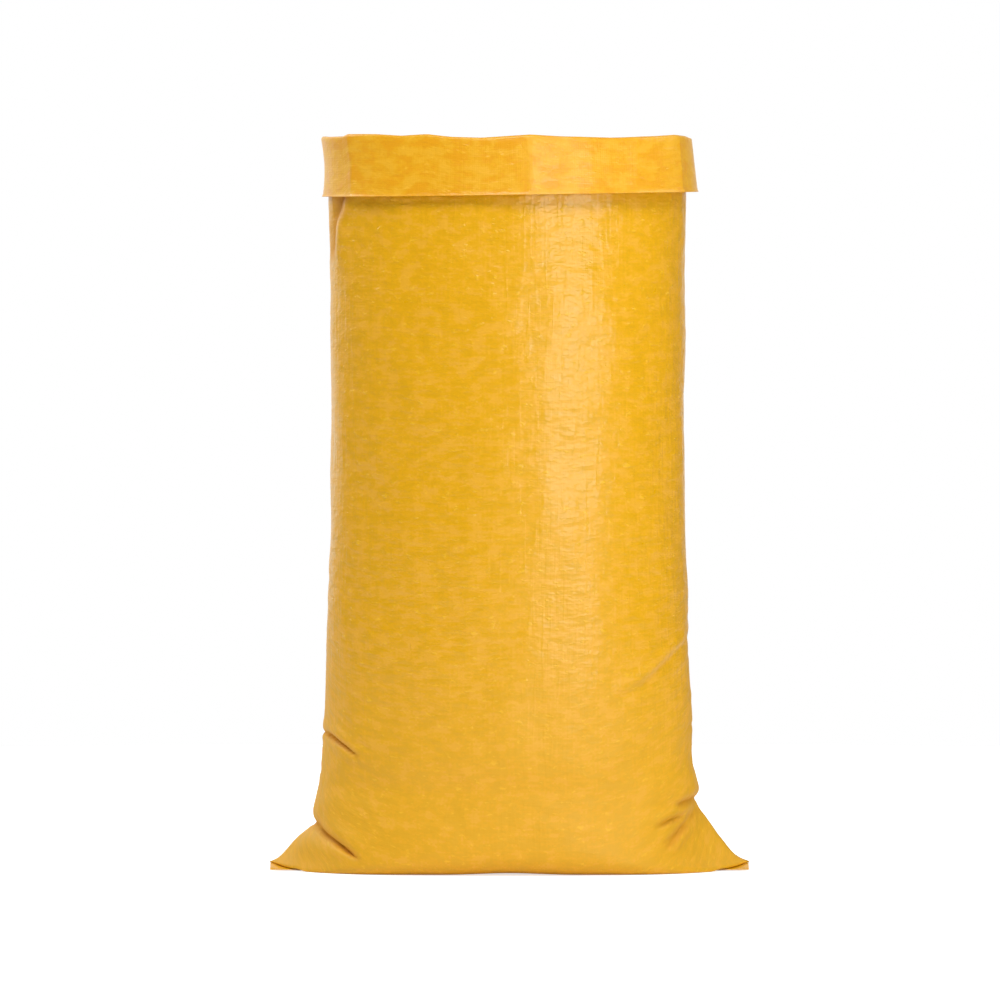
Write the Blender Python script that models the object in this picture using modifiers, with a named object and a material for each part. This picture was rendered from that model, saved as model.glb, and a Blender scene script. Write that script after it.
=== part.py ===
"""A woven polypropylene sack, full and standing, with its mouth turned out as a cuff.

Metres, +Z up. The front faces -Y, and the origin is on the floor under the middle of the sack.
The sack is one flat tube of fabric, sewn across its bottom end. A girth of such fabric can't stretch,
so each section's depth is worked out from its width and the tube's girth.
"""

import math

import bmesh
import bpy
from mathutils import Vector

# The sack laid flat, and the sack standing
FLAT_WIDTH = 0.550
HEIGHT = 0.8228
SEAM_HALF = 0.2685
FABRIC = 0.0004

# Half widths of the standing sack, as (height, half width), on the left and on the right
LEFT_SIDE = ((0.052, 0.2162), (0.066, 0.2184), (0.082, 0.2160), (0.100, 0.2120), (0.139, 0.2083),
             (0.220, 0.2050), (0.323, 0.2016), (0.410, 0.1994), (0.690, 0.1994), (0.745, 0.2005),
             (0.820, 0.2035))
RIGHT_SIDE = ((0.052, 0.2040), (0.077, 0.2072), (0.095, 0.2117), (0.122, 0.2055), (0.180, 0.2030),
              (0.270, 0.1995), (0.410, 0.1962), (0.690, 0.1964), (0.745, 0.1960), (0.820, 0.1970))

# The bottom: the foot is the outline that lies on the floor, and an ear stands out at each end of the seam
FOOT_DEPTH = 0.138
FOOT_POWER = 3.4
FOOT_PULL = 0.6
PULL_POWER = 6
FOOT_RADIUS = 0.030
EAR_RADIUS = 0.006
LEFT_EAR_BOW = 0.0058
RIGHT_EAR_BOW = -0.0048
LEFT_BOW_PLACE = 1.8
RIGHT_BOW_PLACE = 0.36
NARROWING_FROM = 0.30
NARROWING_TO = 0.95
EAR_START = 0.62
LEFT_NOTCH_HEIGHT = 0.052
RIGHT_NOTCH_HEIGHT = 0.077
CREASE_LOW = 0.022
BELLY_HEIGHT = 0.135

# The bottom hem: the tube's end folded once, sewn, and laid forwards under the sack, on its thread
THREAD_RADIUS = 0.0004
THREAD_INSET = 0.012
TOUCH_GAP = 0.0003
HEM_WIDTH = 0.025
HEM_LIP = 0.0015
HEM_STEP = 0.003
HEM_THICKNESS = 0.0012
HEM_OVERLAP = 0.0003
HEM_SHORT = 0.001
HEM_LOW = 2 * THREAD_RADIUS + TOUCH_GAP
HEM_HIGH = HEM_LOW + HEM_THICKNESS
SEAM_HEIGHT = HEM_HIGH - HEM_OVERLAP
SEAM_RISE = 0.008
PANEL_OVER_HEM = HEM_HIGH + 0.0004
LANDING = 0.046
HEM_END_SHARE = 0.55
LANDING_SHARE = 0.8
RISE_USED = 0.8
THREAD_SHORT = 0.004

# The cuff: the top of the tube turned outwards
CUFF_LEFT_DROP = 0.0681
CUFF_RIGHT_DROP = 0.0626
CUFF_LEFT_FLARE = -0.0020
CUFF_RIGHT_FLARE = 0.0065
CUFF_BULGE = 0.0050
FOLD_RADIUS = 0.0028
RIM_DIP = 0.0035
RIM_WAVES = 2.5
RIM_SHIFT = 0.9
MOUTH_SLACK_FROM = 0.60
MOUTH_SLACK_TO = 0.76
MOUTH_SLACK = 0.010

# Soft upright waves of the slack mouth, each as its place across the sack, its height and its reach
MOUTH_WAVES = ((0.018, 0.0022, 0.030), (0.072, 0.0016, 0.016), (-0.090, -0.0018, 0.030),
               (0.125, -0.0012, 0.018))
WAVES_FROM = 0.69
WAVES_TO = 0.80

# Upright bends where the flat tube's creases and folds stay in the fabric, on the wall under the cuff and on
# the cuff. Each is its side, its place across the sack, how far it stands out, and its reach left and right
WALL_BENDS = ((-1, -0.176, 0.0060, 0.014, 0.050), (-1, 0.189, 0.0035, 0.050, 0.012))
WALL_BENDS_FROM = 0.64
WALL_BENDS_TO = 0.75
CUFF_BENDS = ((-1, -0.172, 0.0085, 0.018, 0.060), (-1, 0.187, 0.0050, 0.050, 0.012),
              (-1, 0.024, 0.0032, 0.045, 0.022), (1, 0.163, 0.0045, 0.060, 0.030),
              (1, -0.177, 0.0035, 0.030, 0.060))
BEND_FACES_FROM = -0.030
BEND_FACES_TO = 0.020

# The filling. Its top is a low mound with heaps about 60 mm apart: each wave is its height, its turns
# for each metre across and along, and where it starts
FILL_LEVEL = 0.728
FILL_MOUND = 0.010
HEAP_WAVES = ((0.0010, 101.0, 27.0, 0.6), (0.0009, -38.0, 97.0, 2.1), (0.0007, 62.0, -71.0, 4.0))
HEAP_SHARES = (0.88, 0.76, 0.64, 0.52, 0.40, 0.27, 0.13)
HEAP_FADE = 4
FILL_INSET = 0.0006
FILL_EAR_FROM = 0.165
FILL_EAR_TO = 0.212
FILL_EAR_RISE = 0.002

# How finely the round shapes are divided
AROUND = 48
HALF_AROUND = AROUND // 2
FOOT_STEPS = 4
RISE_SHARES = (0.3, 0.65, 1.0)
BELLY_SHARES = (0.18, 0.38, 0.62, 1.0)
WALL_HEIGHTS = (0.170, 0.215, 0.270, 0.335, 0.410, 0.500, 0.590, 0.650, 0.690, FILL_LEVEL, 0.760, 0.790)
FOLD_STEPS = 4
CUFF_STEPS = 4
MERGE_WITHIN = 1e-5
NUDGE = 1e-3
BISECTIONS = 40

FABRIC_YELLOW = (0.80, 0.43, 0.022, 1.0)
THREAD_WHITE = (0.78, 0.76, 0.70, 1.0)
FILL_BEIGE = (0.52, 0.42, 0.28, 1.0)


def smooth_step(value, low, high):
    """0 up to low, 1 from high on, and a smooth rise between them."""
    share = min(1.0, max(0.0, (value - low) / (high - low)))
    return share * share * (3.0 - 2.0 * share)


def between(low, high, share):
    """The number or point that lies that share of the way from low to high."""
    return low + (high - low) * share


def profile_at(knots, height):
    """The half width at a height, on a smooth curve through the knots."""
    last = len(knots) - 1
    if height <= knots[0][0]:
        return knots[0][1]
    if height >= knots[last][0]:
        return knots[last][1]
    low = max(i for i in range(last) if knots[i][0] <= height)

    def slope(i):
        first, second = max(i - 1, 0), min(i + 1, last)
        return (knots[second][1] - knots[first][1]) / (knots[second][0] - knots[first][0])

    span = knots[low + 1][0] - knots[low][0]
    s = (height - knots[low][0]) / span
    return (knots[low][1] * (1 - 3 * s**2 + 2 * s**3) + knots[low + 1][1] * (3 * s**2 - 2 * s**3)
            + span * (slope(low) * (s - 2 * s**2 + s**3) + slope(low + 1) * (s**3 - s**2)))


def oval_girth(half_width, half_depth):
    """The length round an oval, by Ramanujan's formula."""
    total = half_width + half_depth
    return math.pi * (3 * total - math.sqrt((3 * half_width + half_depth) * (half_width + 3 * half_depth)))


def depth_of_girth(half_width):
    """The half depth of the oval that the tube makes when it is this wide."""
    low, high = 0.0, FLAT_WIDTH
    for _ in range(BISECTIONS):
        middle = (low + high) / 2
        if oval_girth(half_width, middle) < 2 * FLAT_WIDTH:
            low = middle
        else:
            high = middle
    return low


def oval_point(left, right, half_depth, across, side, height):
    """A point on an oval section. across runs from -1 at the left crease to 1 at the right one, evenly
    along the fabric, and side is -1 on the front and 1 on the back."""
    half_width = (left + right) / 2
    flatness = (half_width - half_depth) / (half_width + half_depth)
    angle = math.pi / 2 * across - flatness / 2 * math.sin(math.pi * across)
    x = (right - left) / 2 + half_width * math.sin(angle)
    return Vector((x, side * half_depth * math.cos(angle), height))


def plain_wall(across, side, height):
    """A point of the wall without its bends. Above the filling the tube is slack, and less deep than its
    girth allows."""
    left, right = profile_at(LEFT_SIDE, height), profile_at(RIGHT_SIDE, height)
    slack = MOUTH_SLACK * smooth_step(height, MOUTH_SLACK_FROM, MOUTH_SLACK_TO)
    return oval_point(left, right, depth_of_girth((left + right) / 2) - slack, across, side, height)


def outward_at(across, side, height):
    """The level direction straight out of the wall."""
    ahead, behind = plain_wall(across + NUDGE, side, height), plain_wall(across - NUDGE, side, height)
    return Vector((behind.y - ahead.y, ahead.x - behind.x, 0)).normalized() * side


def bends_at(point, bends):
    """How far the bends stand out at a point."""
    total = 0.0
    for side, place, height, left_reach, right_reach in bends:
        reach = left_reach if point.x < place else right_reach
        facing = smooth_step(point.y * side, BEND_FACES_FROM, BEND_FACES_TO)
        total += height * math.exp(-abs(point.x - place) / reach) * facing
    return total


def waves_at(point):
    """How far the mouth's soft waves stand out at a point."""
    waves = sum(height * math.exp(-(((point.x - x) / reach) ** 2)) for x, height, reach in MOUTH_WAVES)
    return waves * smooth_step(point.z, WAVES_FROM, WAVES_TO)


def wall_point(across, side, height):
    """A point of the wall, with its bends and waves."""
    plain = plain_wall(across, side, height)
    bends = bends_at(plain, WALL_BENDS) * smooth_step(height, WALL_BENDS_FROM, WALL_BENDS_TO)
    return plain + outward_at(across, side, height) * (bends + waves_at(plain))


def seam_point(across):
    """A point of the straight seam across the bottom."""
    return Vector((SEAM_HALF * across, 0.0, 0.0))


def foot_point(across, side):
    """A point of the outline that rests on the floor. It comes to a point at each ear's tip."""
    pull = FOOT_PULL * (1 - abs(across) ** PULL_POWER)
    x = between(seam_point(across).x, wall_point(across, side, BELLY_HEIGHT).x, pull)
    return Vector((x, side * FOOT_DEPTH * (1 - abs(across) ** FOOT_POWER), 0.0))


def ear_share(across):
    """0 over the sack's middle, and 1 where an ear ends."""
    return smooth_step(abs(across), EAR_START, 1.0)


def crease_height(across):
    """The height of the line where the belly folds over the ear."""
    middle = between(BELLY_HEIGHT / 2, CREASE_LOW, smooth_step(abs(across), 0.0, EAR_START))
    return between(middle, LEFT_NOTCH_HEIGHT if across < 0 else RIGHT_NOTCH_HEIGHT, ear_share(across))


def flank_point(across, side, height):
    """A point of the wall below the belly. It leans in to the foot, but not over the ears."""
    leaning = between(foot_point(across, side), wall_point(across, side, BELLY_HEIGHT), height / BELLY_HEIGHT)
    return between(leaning, wall_point(across, side, height), ear_share(across))


def over_hem(point):
    """The same point lifted over the hem, which lies under the front panel beside the seam."""
    near_floor = 1 - smooth_step(point.z, 0.0, BELLY_HEIGHT / 3)
    if point.y > 0:
        lift = SEAM_HEIGHT * (1 - smooth_step(point.y, 0.0, SEAM_RISE))
    else:
        rise = between(SEAM_HEIGHT, PANEL_OVER_HEM, smooth_step(-point.y, 0.0, HEM_STEP))
        lift = rise * (1 - smooth_step(-point.y, HEM_WIDTH + HEM_STEP, LANDING))
    return point + Vector((0, 0, FABRIC + lift * near_floor))


def ear_bow(across, share):
    """How far the ear's flank bows out of a straight line, that share of the way up."""
    out, place = (-LEFT_EAR_BOW, LEFT_BOW_PLACE) if across < 0 else (RIGHT_EAR_BOW, RIGHT_BOW_PLACE)
    return Vector((out * ear_share(across) * math.sin(math.pi * share**place), 0, 0))


def lower_run(across, side):
    """One warp line from the seam to the belly: along the floor, round the foot, up to the crease and on."""
    start, foot = seam_point(across), foot_point(across, side)
    height = crease_height(across)
    crease = flank_point(across, side, height)
    radius = between(FOOT_RADIUS, EAR_RADIUS, smooth_step(abs(across), NARROWING_FROM, NARROWING_TO))
    floor, rise = foot - start, crease - foot
    before = foot - floor.normalized() * min(radius, floor.length)
    after = foot + rise.normalized() * min(radius, RISE_USED * rise.length)
    along = (before - start).length
    hem_end = min(HEM_WIDTH + HEM_STEP, HEM_END_SHARE * along)
    steps = (0, min(HEM_STEP, hem_end / 2), hem_end, min(LANDING, LANDING_SHARE * along))
    points = [start + floor.normalized() * step for step in steps]
    for step in range(FOOT_STEPS + 1):
        s = step / FOOT_STEPS
        points.append(before * (1 - s) ** 2 + foot * 2 * s * (1 - s) + after * s**2)
    points += [after.lerp(crease, share) + ear_bow(across, share) for share in RISE_SHARES]
    points += [flank_point(across, side, between(height, BELLY_HEIGHT, share)) for share in BELLY_SHARES]
    return [over_hem(point) for point in points]


def rim_height(across, side):
    """The height of the fold at the mouth, which dips a little in waves."""
    wave = math.cos(RIM_WAVES * math.pi * across + side * RIM_SHIFT)
    return HEIGHT - FABRIC - RIM_DIP * (0.5 + 0.5 * wave)


def fold_point(across, side, turn):
    """A point of the rim's fold. turn runs from 0, on the wall, to pi, on the cuff."""
    height = rim_height(across, side) - FOLD_RADIUS
    wall, plain = wall_point(across, side, height), plain_wall(across, side, height)
    more = max(0.0, bends_at(plain, CUFF_BENDS) - bends_at(plain, WALL_BENDS)) * turn / math.pi
    out = outward_at(across, side, height) * (FOLD_RADIUS * (1 - math.cos(turn)) + more)
    return wall + out + Vector((0, 0, FOLD_RADIUS * math.sin(turn)))


def cuff_point(across, side, share):
    """A point of the cuff, from the fold at 0 to its lower edge at 1."""
    start = fold_point(across, side, math.pi)
    rightness = 0.5 + 0.5 * across
    fall = between(CUFF_LEFT_DROP, CUFF_RIGHT_DROP, rightness) - FOLD_RADIUS
    flare = between(CUFF_LEFT_FLARE, CUFF_RIGHT_FLARE, smooth_step(rightness, 0.0, 1.0))
    flare += CUFF_BULGE * math.cos(math.pi / 2 * across) ** 2
    return start + (outward_at(across, side, start.z) * flare - Vector((0, 0, fall))) * share


def warps():
    """(across, side) of each warp line round the tube, from the left crease over the front and back again."""
    front = [(-1 + 2 * i / HALF_AROUND, -1) for i in range(HALF_AROUND)]
    back = [(1 - 2 * i / HALF_AROUND, 1) for i in range(HALF_AROUND)]
    return front + back


def new_collection(name):
    """A new collection in the scene."""
    collection = bpy.data.collections.new(name)
    bpy.context.scene.collection.children.link(collection)
    return collection


def finish_material(name, colour, roughness):
    """A plain material for one sub-part."""
    material = bpy.data.materials.new(name)
    material.use_nodes = True
    shader = material.node_tree.nodes["Principled BSDF"]
    shader.inputs["Base Color"].default_value = colour
    shader.inputs["Roughness"].default_value = roughness
    shader.inputs["Metallic"].default_value = 0.0
    return material


def loft(name, rings, collection, material, top=None):
    """A mesh object that joins rings of points, each of one point for each warp. Where a top is given, the
    last ring is closed to that point."""
    shape = bmesh.new()
    rows = [[shape.verts.new(point) for point in ring] for ring in rings]
    for low, high in zip(rows, rows[1:]):
        for i in range(AROUND):
            j = (i + 1) % AROUND
            shape.faces.new((low[i], low[j], high[j], high[i]))
    if top:
        middle = shape.verts.new(top)
        for i in range(AROUND):
            shape.faces.new((rows[-1][i], rows[-1][(i + 1) % AROUND], middle))
    bmesh.ops.remove_doubles(shape, verts=shape.verts, dist=MERGE_WITHIN)
    mesh = bpy.data.meshes.new(name)
    shape.to_mesh(mesh)
    shape.free()
    mesh.shade_smooth()
    mesh.materials.append(material)
    obj = bpy.data.objects.new(name, mesh)
    collection.objects.link(obj)
    return obj


def sack_rings():
    """The rings of the fabric: up from the seam, over the rim, and down the cuff."""
    lines = warps()
    rings = list(zip(*[lower_run(t, side) for t, side in lines]))
    rings += [[wall_point(t, side, height) for t, side in lines] for height in WALL_HEIGHTS]
    turns = [math.pi * step / FOLD_STEPS for step in range(FOLD_STEPS + 1)]
    rings += [[fold_point(t, side, turn) for t, side in lines] for turn in turns]
    shares = [step / CUFF_STEPS for step in range(1, CUFF_STEPS + 1)]
    rings += [[cuff_point(t, side, share) for t, side in lines] for share in shares]
    return rings


def out_of_ear(point):
    """The same point moved to where the contents end, short of the ear's tip and just off its floor."""
    reach = abs(point.x)
    if reach <= FILL_EAR_FROM:
        return point
    share = (FILL_EAR_TO - FILL_EAR_FROM) / (SEAM_HALF - FILL_EAR_FROM)
    low = 1 - smooth_step(point.z, BELLY_HEIGHT / 2, BELLY_HEIGHT)
    moved = (reach - FILL_EAR_FROM) * (1 - share) * low
    rise = FILL_EAR_RISE * smooth_step(reach, FILL_EAR_FROM, FILL_EAR_TO) * low
    return Vector((math.copysign(reach - moved, point.x), point.y, point.z + rise))


def heap_point(middle, edge, share):
    """A point of the filling's top, that share of the way from its middle to the fabric."""
    point = middle.lerp(edge, share)
    heaps = sum(height * math.sin(across * point.x + along * point.y + start)
                for height, across, along, start in HEAP_WAVES)
    point.z += FILL_MOUND * (1 - share**2) + heaps * (1 - share**HEAP_FADE)
    return point


def make_folded_hem(helpers):
    """The hem: the layers of the folded end as one flat strip, a helper that is joined to the tube."""
    shape = bmesh.new()
    bmesh.ops.create_cube(shape, size=1.0)
    mesh = bpy.data.meshes.new("folded_hem")
    shape.to_mesh(mesh)
    shape.free()
    hem = bpy.data.objects.new("folded_hem", mesh)
    hem.scale = (2 * (SEAM_HALF - HEM_SHORT), HEM_WIDTH + HEM_LIP, HEM_THICKNESS)
    hem.location = (0.0, (HEM_LIP - HEM_WIDTH) / 2, (HEM_LOW + HEM_HIGH) / 2)
    hem.hide_render = True
    hem.display_type = "WIRE"
    helpers.objects.link(hem)
    return hem


def make_woven_sack(collection, helpers):
    """The fabric: tube, ears and cuff as one skin, with the folded hem joined on along the seam."""
    sack = loft("woven_sack", sack_rings(), collection, finish_material("fabric", FABRIC_YELLOW, 0.45))
    skin = sack.modifiers.new("fabric_thickness", "SOLIDIFY")
    skin.thickness = FABRIC
    skin.offset = 1.0
    join = sack.modifiers.new("hem", "BOOLEAN")
    join.operation = "UNION"
    join.object = make_folded_hem(helpers)
    return sack


def make_filling(collection):
    """The contents: they fill the sack to below the mouth and stop short of the ears' tips."""
    lines = warps()
    rings = list(zip(*[[out_of_ear(point) for point in lower_run(t, side)] for t, side in lines]))
    heights = [height for height in WALL_HEIGHTS if height <= FILL_LEVEL]
    rings += [[wall_point(t, side, height) for t, side in lines] for height in heights]
    edge = rings[-1]
    middle = sum(edge, Vector((0, 0, 0))) / AROUND
    rings += [[heap_point(middle, point, share) for point in edge] for share in HEAP_SHARES]
    top = heap_point(middle, middle, 0.0)
    filling = loft("filling", rings, collection, finish_material("dry_fill", FILL_BEIGE, 0.95), top)
    inset = filling.modifiers.new("gap_to_fabric", "DISPLACE")
    inset.mid_level = 0.0
    inset.strength = -FILL_INSET
    return filling


def make_seam_thread(collection):
    """The sewing thread along the hem's underside, from one end of the seam to the other."""
    line = bpy.data.curves.new("seam_thread", "CURVE")
    line.dimensions = "3D"
    line.bevel_depth = THREAD_RADIUS
    line.bevel_resolution = 2
    line.use_fill_caps = True
    spline = line.splines.new("POLY")
    spline.points.add(1)
    reach = SEAM_HALF - THREAD_SHORT
    for point, x in zip(spline.points, (-reach, reach)):
        point.co = (x, -THREAD_INSET, THREAD_RADIUS, 1.0)
    line.materials.append(finish_material("sewing_thread", THREAD_WHITE, 0.6))
    thread = bpy.data.objects.new("seam_thread", line)
    collection.objects.link(thread)
    return thread


def main():
    for obj in list(bpy.data.objects):
        bpy.data.objects.remove(obj)
    collection = new_collection("woven_polypropylene_sack")
    helpers = new_collection("cutters")
    make_woven_sack(collection, helpers)
    make_filling(collection)
    make_seam_thread(collection)


main()
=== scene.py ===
"""Looks of a full woven polypropylene sack that stands with its mouth turned out as a cuff.

Metres, +Z up, the front faces -Y. The fabric is one tube. Each warp line of the tube is drawn from the
bottom seam up the sack, over the rim and down the cuff, and the grid of those lines is the fabric's middle.
Folds and dents are laid on that grid, and the fabric's two faces are then drawn beside it.
"""

from __future__ import annotations

import logging
import math
from dataclasses import dataclass, field
from enum import Enum

import bmesh
import bpy
import numpy as np
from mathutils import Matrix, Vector

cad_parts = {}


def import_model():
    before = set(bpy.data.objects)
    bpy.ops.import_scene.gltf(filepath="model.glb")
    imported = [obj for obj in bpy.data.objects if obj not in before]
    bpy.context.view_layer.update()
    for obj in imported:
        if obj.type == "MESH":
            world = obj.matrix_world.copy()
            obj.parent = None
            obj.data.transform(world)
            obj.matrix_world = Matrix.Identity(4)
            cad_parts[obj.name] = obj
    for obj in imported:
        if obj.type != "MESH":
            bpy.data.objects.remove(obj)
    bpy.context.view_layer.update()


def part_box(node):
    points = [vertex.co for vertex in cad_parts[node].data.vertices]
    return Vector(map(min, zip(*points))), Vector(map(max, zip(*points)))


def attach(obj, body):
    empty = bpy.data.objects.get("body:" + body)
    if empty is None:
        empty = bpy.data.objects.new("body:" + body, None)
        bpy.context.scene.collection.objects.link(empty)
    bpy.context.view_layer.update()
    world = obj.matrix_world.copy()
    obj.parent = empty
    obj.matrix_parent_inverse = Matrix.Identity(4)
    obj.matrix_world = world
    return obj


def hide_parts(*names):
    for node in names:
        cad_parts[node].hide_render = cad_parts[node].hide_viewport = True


LOG = logging.getLogger("sack")
ROOT_BODY = "root"

UP = np.array([0.0, 0.0, 1.0])
WELD_DISTANCE = 1e-6
WHITE = (1.0, 1.0, 1.0, 1.0)

Colour = tuple[float, float, float]
Span = tuple[float, float]
Line = tuple[tuple[float, float], ...]


def smooth_step(value: np.ndarray, low: float, high: float) -> np.ndarray:
    """Rises smoothly from 0 at low to 1 at high.

    Args:
        value: The values to read.
        low: Where the rise starts.
        high: Where the rise ends, which may lie below low.

    Returns:
        The risen values.
    """
    share = np.clip((value - low) / (high - low), 0.0, 1.0)
    return share * share * (3.0 - 2.0 * share)


def between(low: np.ndarray, high: np.ndarray, share: np.ndarray) -> np.ndarray:
    """Mixes two rows of points or numbers.

    Args:
        low: What share 0 gives.
        high: What share 1 gives.
        share: The share of high, one number for each point.

    Returns:
        The mixed points or numbers.
    """
    low, high, share = np.asarray(low, float), np.asarray(high, float), np.asarray(share, float)
    if high.ndim > share.ndim:
        share = share[..., None]
    return low + (high - low) * share


def unit(vectors: np.ndarray) -> np.ndarray:
    """Scales vectors to length 1, and leaves those without a length."""
    lengths = np.linalg.norm(vectors, axis=-1, keepdims=True)
    return vectors / np.maximum(lengths, 1e-12)


def bell(value: np.ndarray, reach: float | np.ndarray) -> np.ndarray:
    """A hump that is 1 high at 0, and about a third as high at the reach."""
    return np.exp(-((value / reach) ** 2))


def steps(count: int) -> np.ndarray:
    """Even shares up to 1, without 0."""
    return np.linspace(0, 1, count + 1)[1:]


class Face(Enum):
    """The two faces of the fabric."""

    COATED = 0
    BARE = 1


@dataclass(frozen=True)
class Silhouette:
    """One side's half widths, as a smooth curve through (height, half width) knots."""

    knots: Line

    def at(self, height: np.ndarray) -> np.ndarray:
        """Reads the half width.

        Args:
            height: Heights over the floor.

        Returns:
            The half width at each height.
        """
        heights, widths = np.array(self.knots).T
        slopes = np.empty(len(heights))
        slopes[1:-1] = (widths[2:] - widths[:-2]) / (heights[2:] - heights[:-2])
        slopes[0] = (widths[1] - widths[0]) / (heights[1] - heights[0])
        slopes[-1] = (widths[-1] - widths[-2]) / (heights[-1] - heights[-2])
        height = np.clip(height, heights[0], heights[-1])
        low = np.clip(np.searchsorted(heights, height, side="right") - 1, 0, len(heights) - 2)
        span = heights[low + 1] - heights[low]
        s = (height - heights[low]) / span
        bend = slopes[low] * (s - 2 * s**2 + s**3) + slopes[low + 1] * (s**3 - s**2)
        held = widths[low] * (1 - 3 * s**2 + 2 * s**3) + widths[low + 1] * (3 * s**2 - 2 * s**3)
        return held + span * bend


@dataclass(frozen=True)
class LowerRows:
    """How many rows of points each stretch of the lower fabric has."""

    floor: int = 9
    foot: int = 12
    rise: int = 14
    belly: int = 30


@dataclass(frozen=True)
class UpperRows:
    """Where the rows of points of the upper fabric are."""

    stretches: tuple[tuple[float, int], ...] = ((0.172, 17), (0.300, 36), (0.690, 60), (0.820, 32))
    fold: int = 7
    cuff: int = 18

    def heights(self, start: float) -> np.ndarray:
        """The heights of the wall's rows.

        Args:
            start: Where the wall starts.

        Returns:
            The heights, from the first row above the start.
        """
        heights: list[float] = []
        for end, count in self.stretches:
            heights.extend(np.linspace(start, end, count + 1)[1:])
            start = end
        return np.array(heights)


@dataclass(frozen=True)
class SackForm:
    """The smooth form of the standing sack, before folds and dents."""

    seam_half: float
    height: float
    flat_width: float = 0.550
    left: Silhouette = Silhouette(
        ((0.052, 0.2162), (0.066, 0.2184), (0.082, 0.2160), (0.100, 0.2120), (0.139, 0.2083),
         (0.220, 0.2050), (0.323, 0.2016), (0.410, 0.1994), (0.690, 0.1994), (0.745, 0.2005),
         (0.820, 0.2035)))
    right: Silhouette = Silhouette(
        ((0.052, 0.2040), (0.077, 0.2072), (0.095, 0.2117), (0.122, 0.2055), (0.180, 0.2030),
         (0.270, 0.1995), (0.410, 0.1962), (0.690, 0.1964), (0.745, 0.1960), (0.820, 0.1970)))
    foot_depth: float = 0.138
    foot_power: float = 3.4
    foot_pull: float = 0.6
    pull_power: float = 6.0
    foot_radius: float = 0.030
    foot_arch: float = 0.0026
    arch_reach: float = 0.045
    ear_radius: float = 0.006
    rise_most: float = 0.8
    ear_bow: Span = (0.0058, -0.0048)
    bow_place: Span = (1.8, 0.36)
    narrowing: Span = (0.30, 0.95)
    ear_start: float = 0.62
    notch_left: float = 0.052
    notch_right: float = 0.077
    crease_low: float = 0.022
    belly: float = 0.135
    hem_width: float = 0.025
    hem_step: float = 0.003
    seam_height: float = 0.0020
    seam_rise: float = 0.008
    panel_over_hem: float = 0.0030
    landing: float = 0.046
    tip_rise: float = 0.0066
    tip_from: float = 0.230
    tip_power: float = 1.6
    tip_fade: float = 0.016
    twist_power: float = 1.4
    cuff_edge: Span = (0.7526, 0.7581)
    cuff_flare: Span = (-0.0020, 0.0065)
    cuff_bulge: float = 0.0050
    cuff_waist: float = 0.0028
    waist_power: int = 4
    cuff_spacing: float = 1.6
    fold_radius: float = 0.0026
    rim_front: Line = (
        (-0.211, 0.8184), (-0.198, 0.8192), (-0.178, 0.8198), (-0.171, 0.8224), (-0.145, 0.8222),
        (-0.118, 0.8206), (-0.091, 0.8224), (-0.064, 0.8194), (-0.030, 0.8184), (0.003, 0.8206),
        (0.023, 0.8218), (0.056, 0.8198), (0.110, 0.8184), (0.150, 0.8194), (0.177, 0.8216),
        (0.190, 0.8202), (0.206, 0.8148))
    rim_back: Line = (
        (-0.211, 0.8200), (-0.180, 0.8178), (-0.110, 0.8204), (-0.040, 0.8168), (0.030, 0.8190),
        (0.100, 0.8174), (0.170, 0.8198), (0.206, 0.8158))
    slack_range: Span = (0.60, 0.76)
    mouth_slack: float = 0.010
    halvings: int = 40
    nudge: float = 1e-3

    def half_depth(self, half_width: np.ndarray) -> np.ndarray:
        """Finds the half depth of the oval that the tube makes when it is this wide.

        Args:
            half_width: Half widths of the section.

        Returns:
            The half depths that keep the tube's girth.
        """
        low, high = np.zeros_like(half_width), np.full_like(half_width, self.flat_width)
        for _ in range(self.halvings):
            middle = (low + high) / 2
            total = half_width + middle
            root = np.sqrt((3 * half_width + middle) * (half_width + 3 * middle))
            short = math.pi * (3 * total - root) < 2 * self.flat_width
            low, high = np.where(short, middle, low), np.where(short, high, middle)
        return low

    def wall(self, across: np.ndarray, side: np.ndarray, height: np.ndarray) -> np.ndarray:
        """Points of the wall. The tube is slack above the filling.

        Args:
            across: -1 at the left crease to 1 at the right one, evenly along the fabric.
            side: -1 on the front and 1 on the back.
            height: Heights over the floor.

        Returns:
            One point for each warp.
        """
        height = np.broadcast_to(np.asarray(height, float), across.shape)
        left, right = self.left.at(height), self.right.at(height)
        half_width = (left + right) / 2
        half_depth = self.half_depth(half_width) - self.mouth_slack * smooth_step(height, *self.slack_range)
        flatness = (half_width - half_depth) / (half_width + half_depth)
        angle = math.pi / 2 * across - flatness / 2 * np.sin(math.pi * across)
        x = (right - left) / 2 + half_width * np.sin(angle)
        return np.stack([x, side * half_depth * np.cos(angle), height], axis=-1)

    def seam(self, across: np.ndarray) -> np.ndarray:
        """Points of the straight seam across the bottom."""
        flat = np.zeros_like(across)
        return np.stack([self.seam_half * across, flat, flat], axis=-1)

    def foot(self, across: np.ndarray, side: np.ndarray) -> np.ndarray:
        """Points of the outline on the floor, which comes to a point at each ear's tip.

        Args:
            across: Where the warps are.
            side: Which panel they are in.

        Returns:
            One point for each warp.
        """
        pull = self.foot_pull * (1 - np.abs(across) ** self.pull_power)
        x = between(self.seam(across)[:, 0], self.wall(across, side, self.belly)[:, 0], pull)
        depth = self.foot_depth * (1 - np.abs(across) ** self.foot_power)
        return np.stack([x, side * depth, np.zeros_like(x)], axis=-1)

    def ear_share(self, across: np.ndarray) -> np.ndarray:
        """0 over the sack's middle, and 1 where an ear ends."""
        return smooth_step(np.abs(across), self.ear_start, 1.0)

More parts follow.
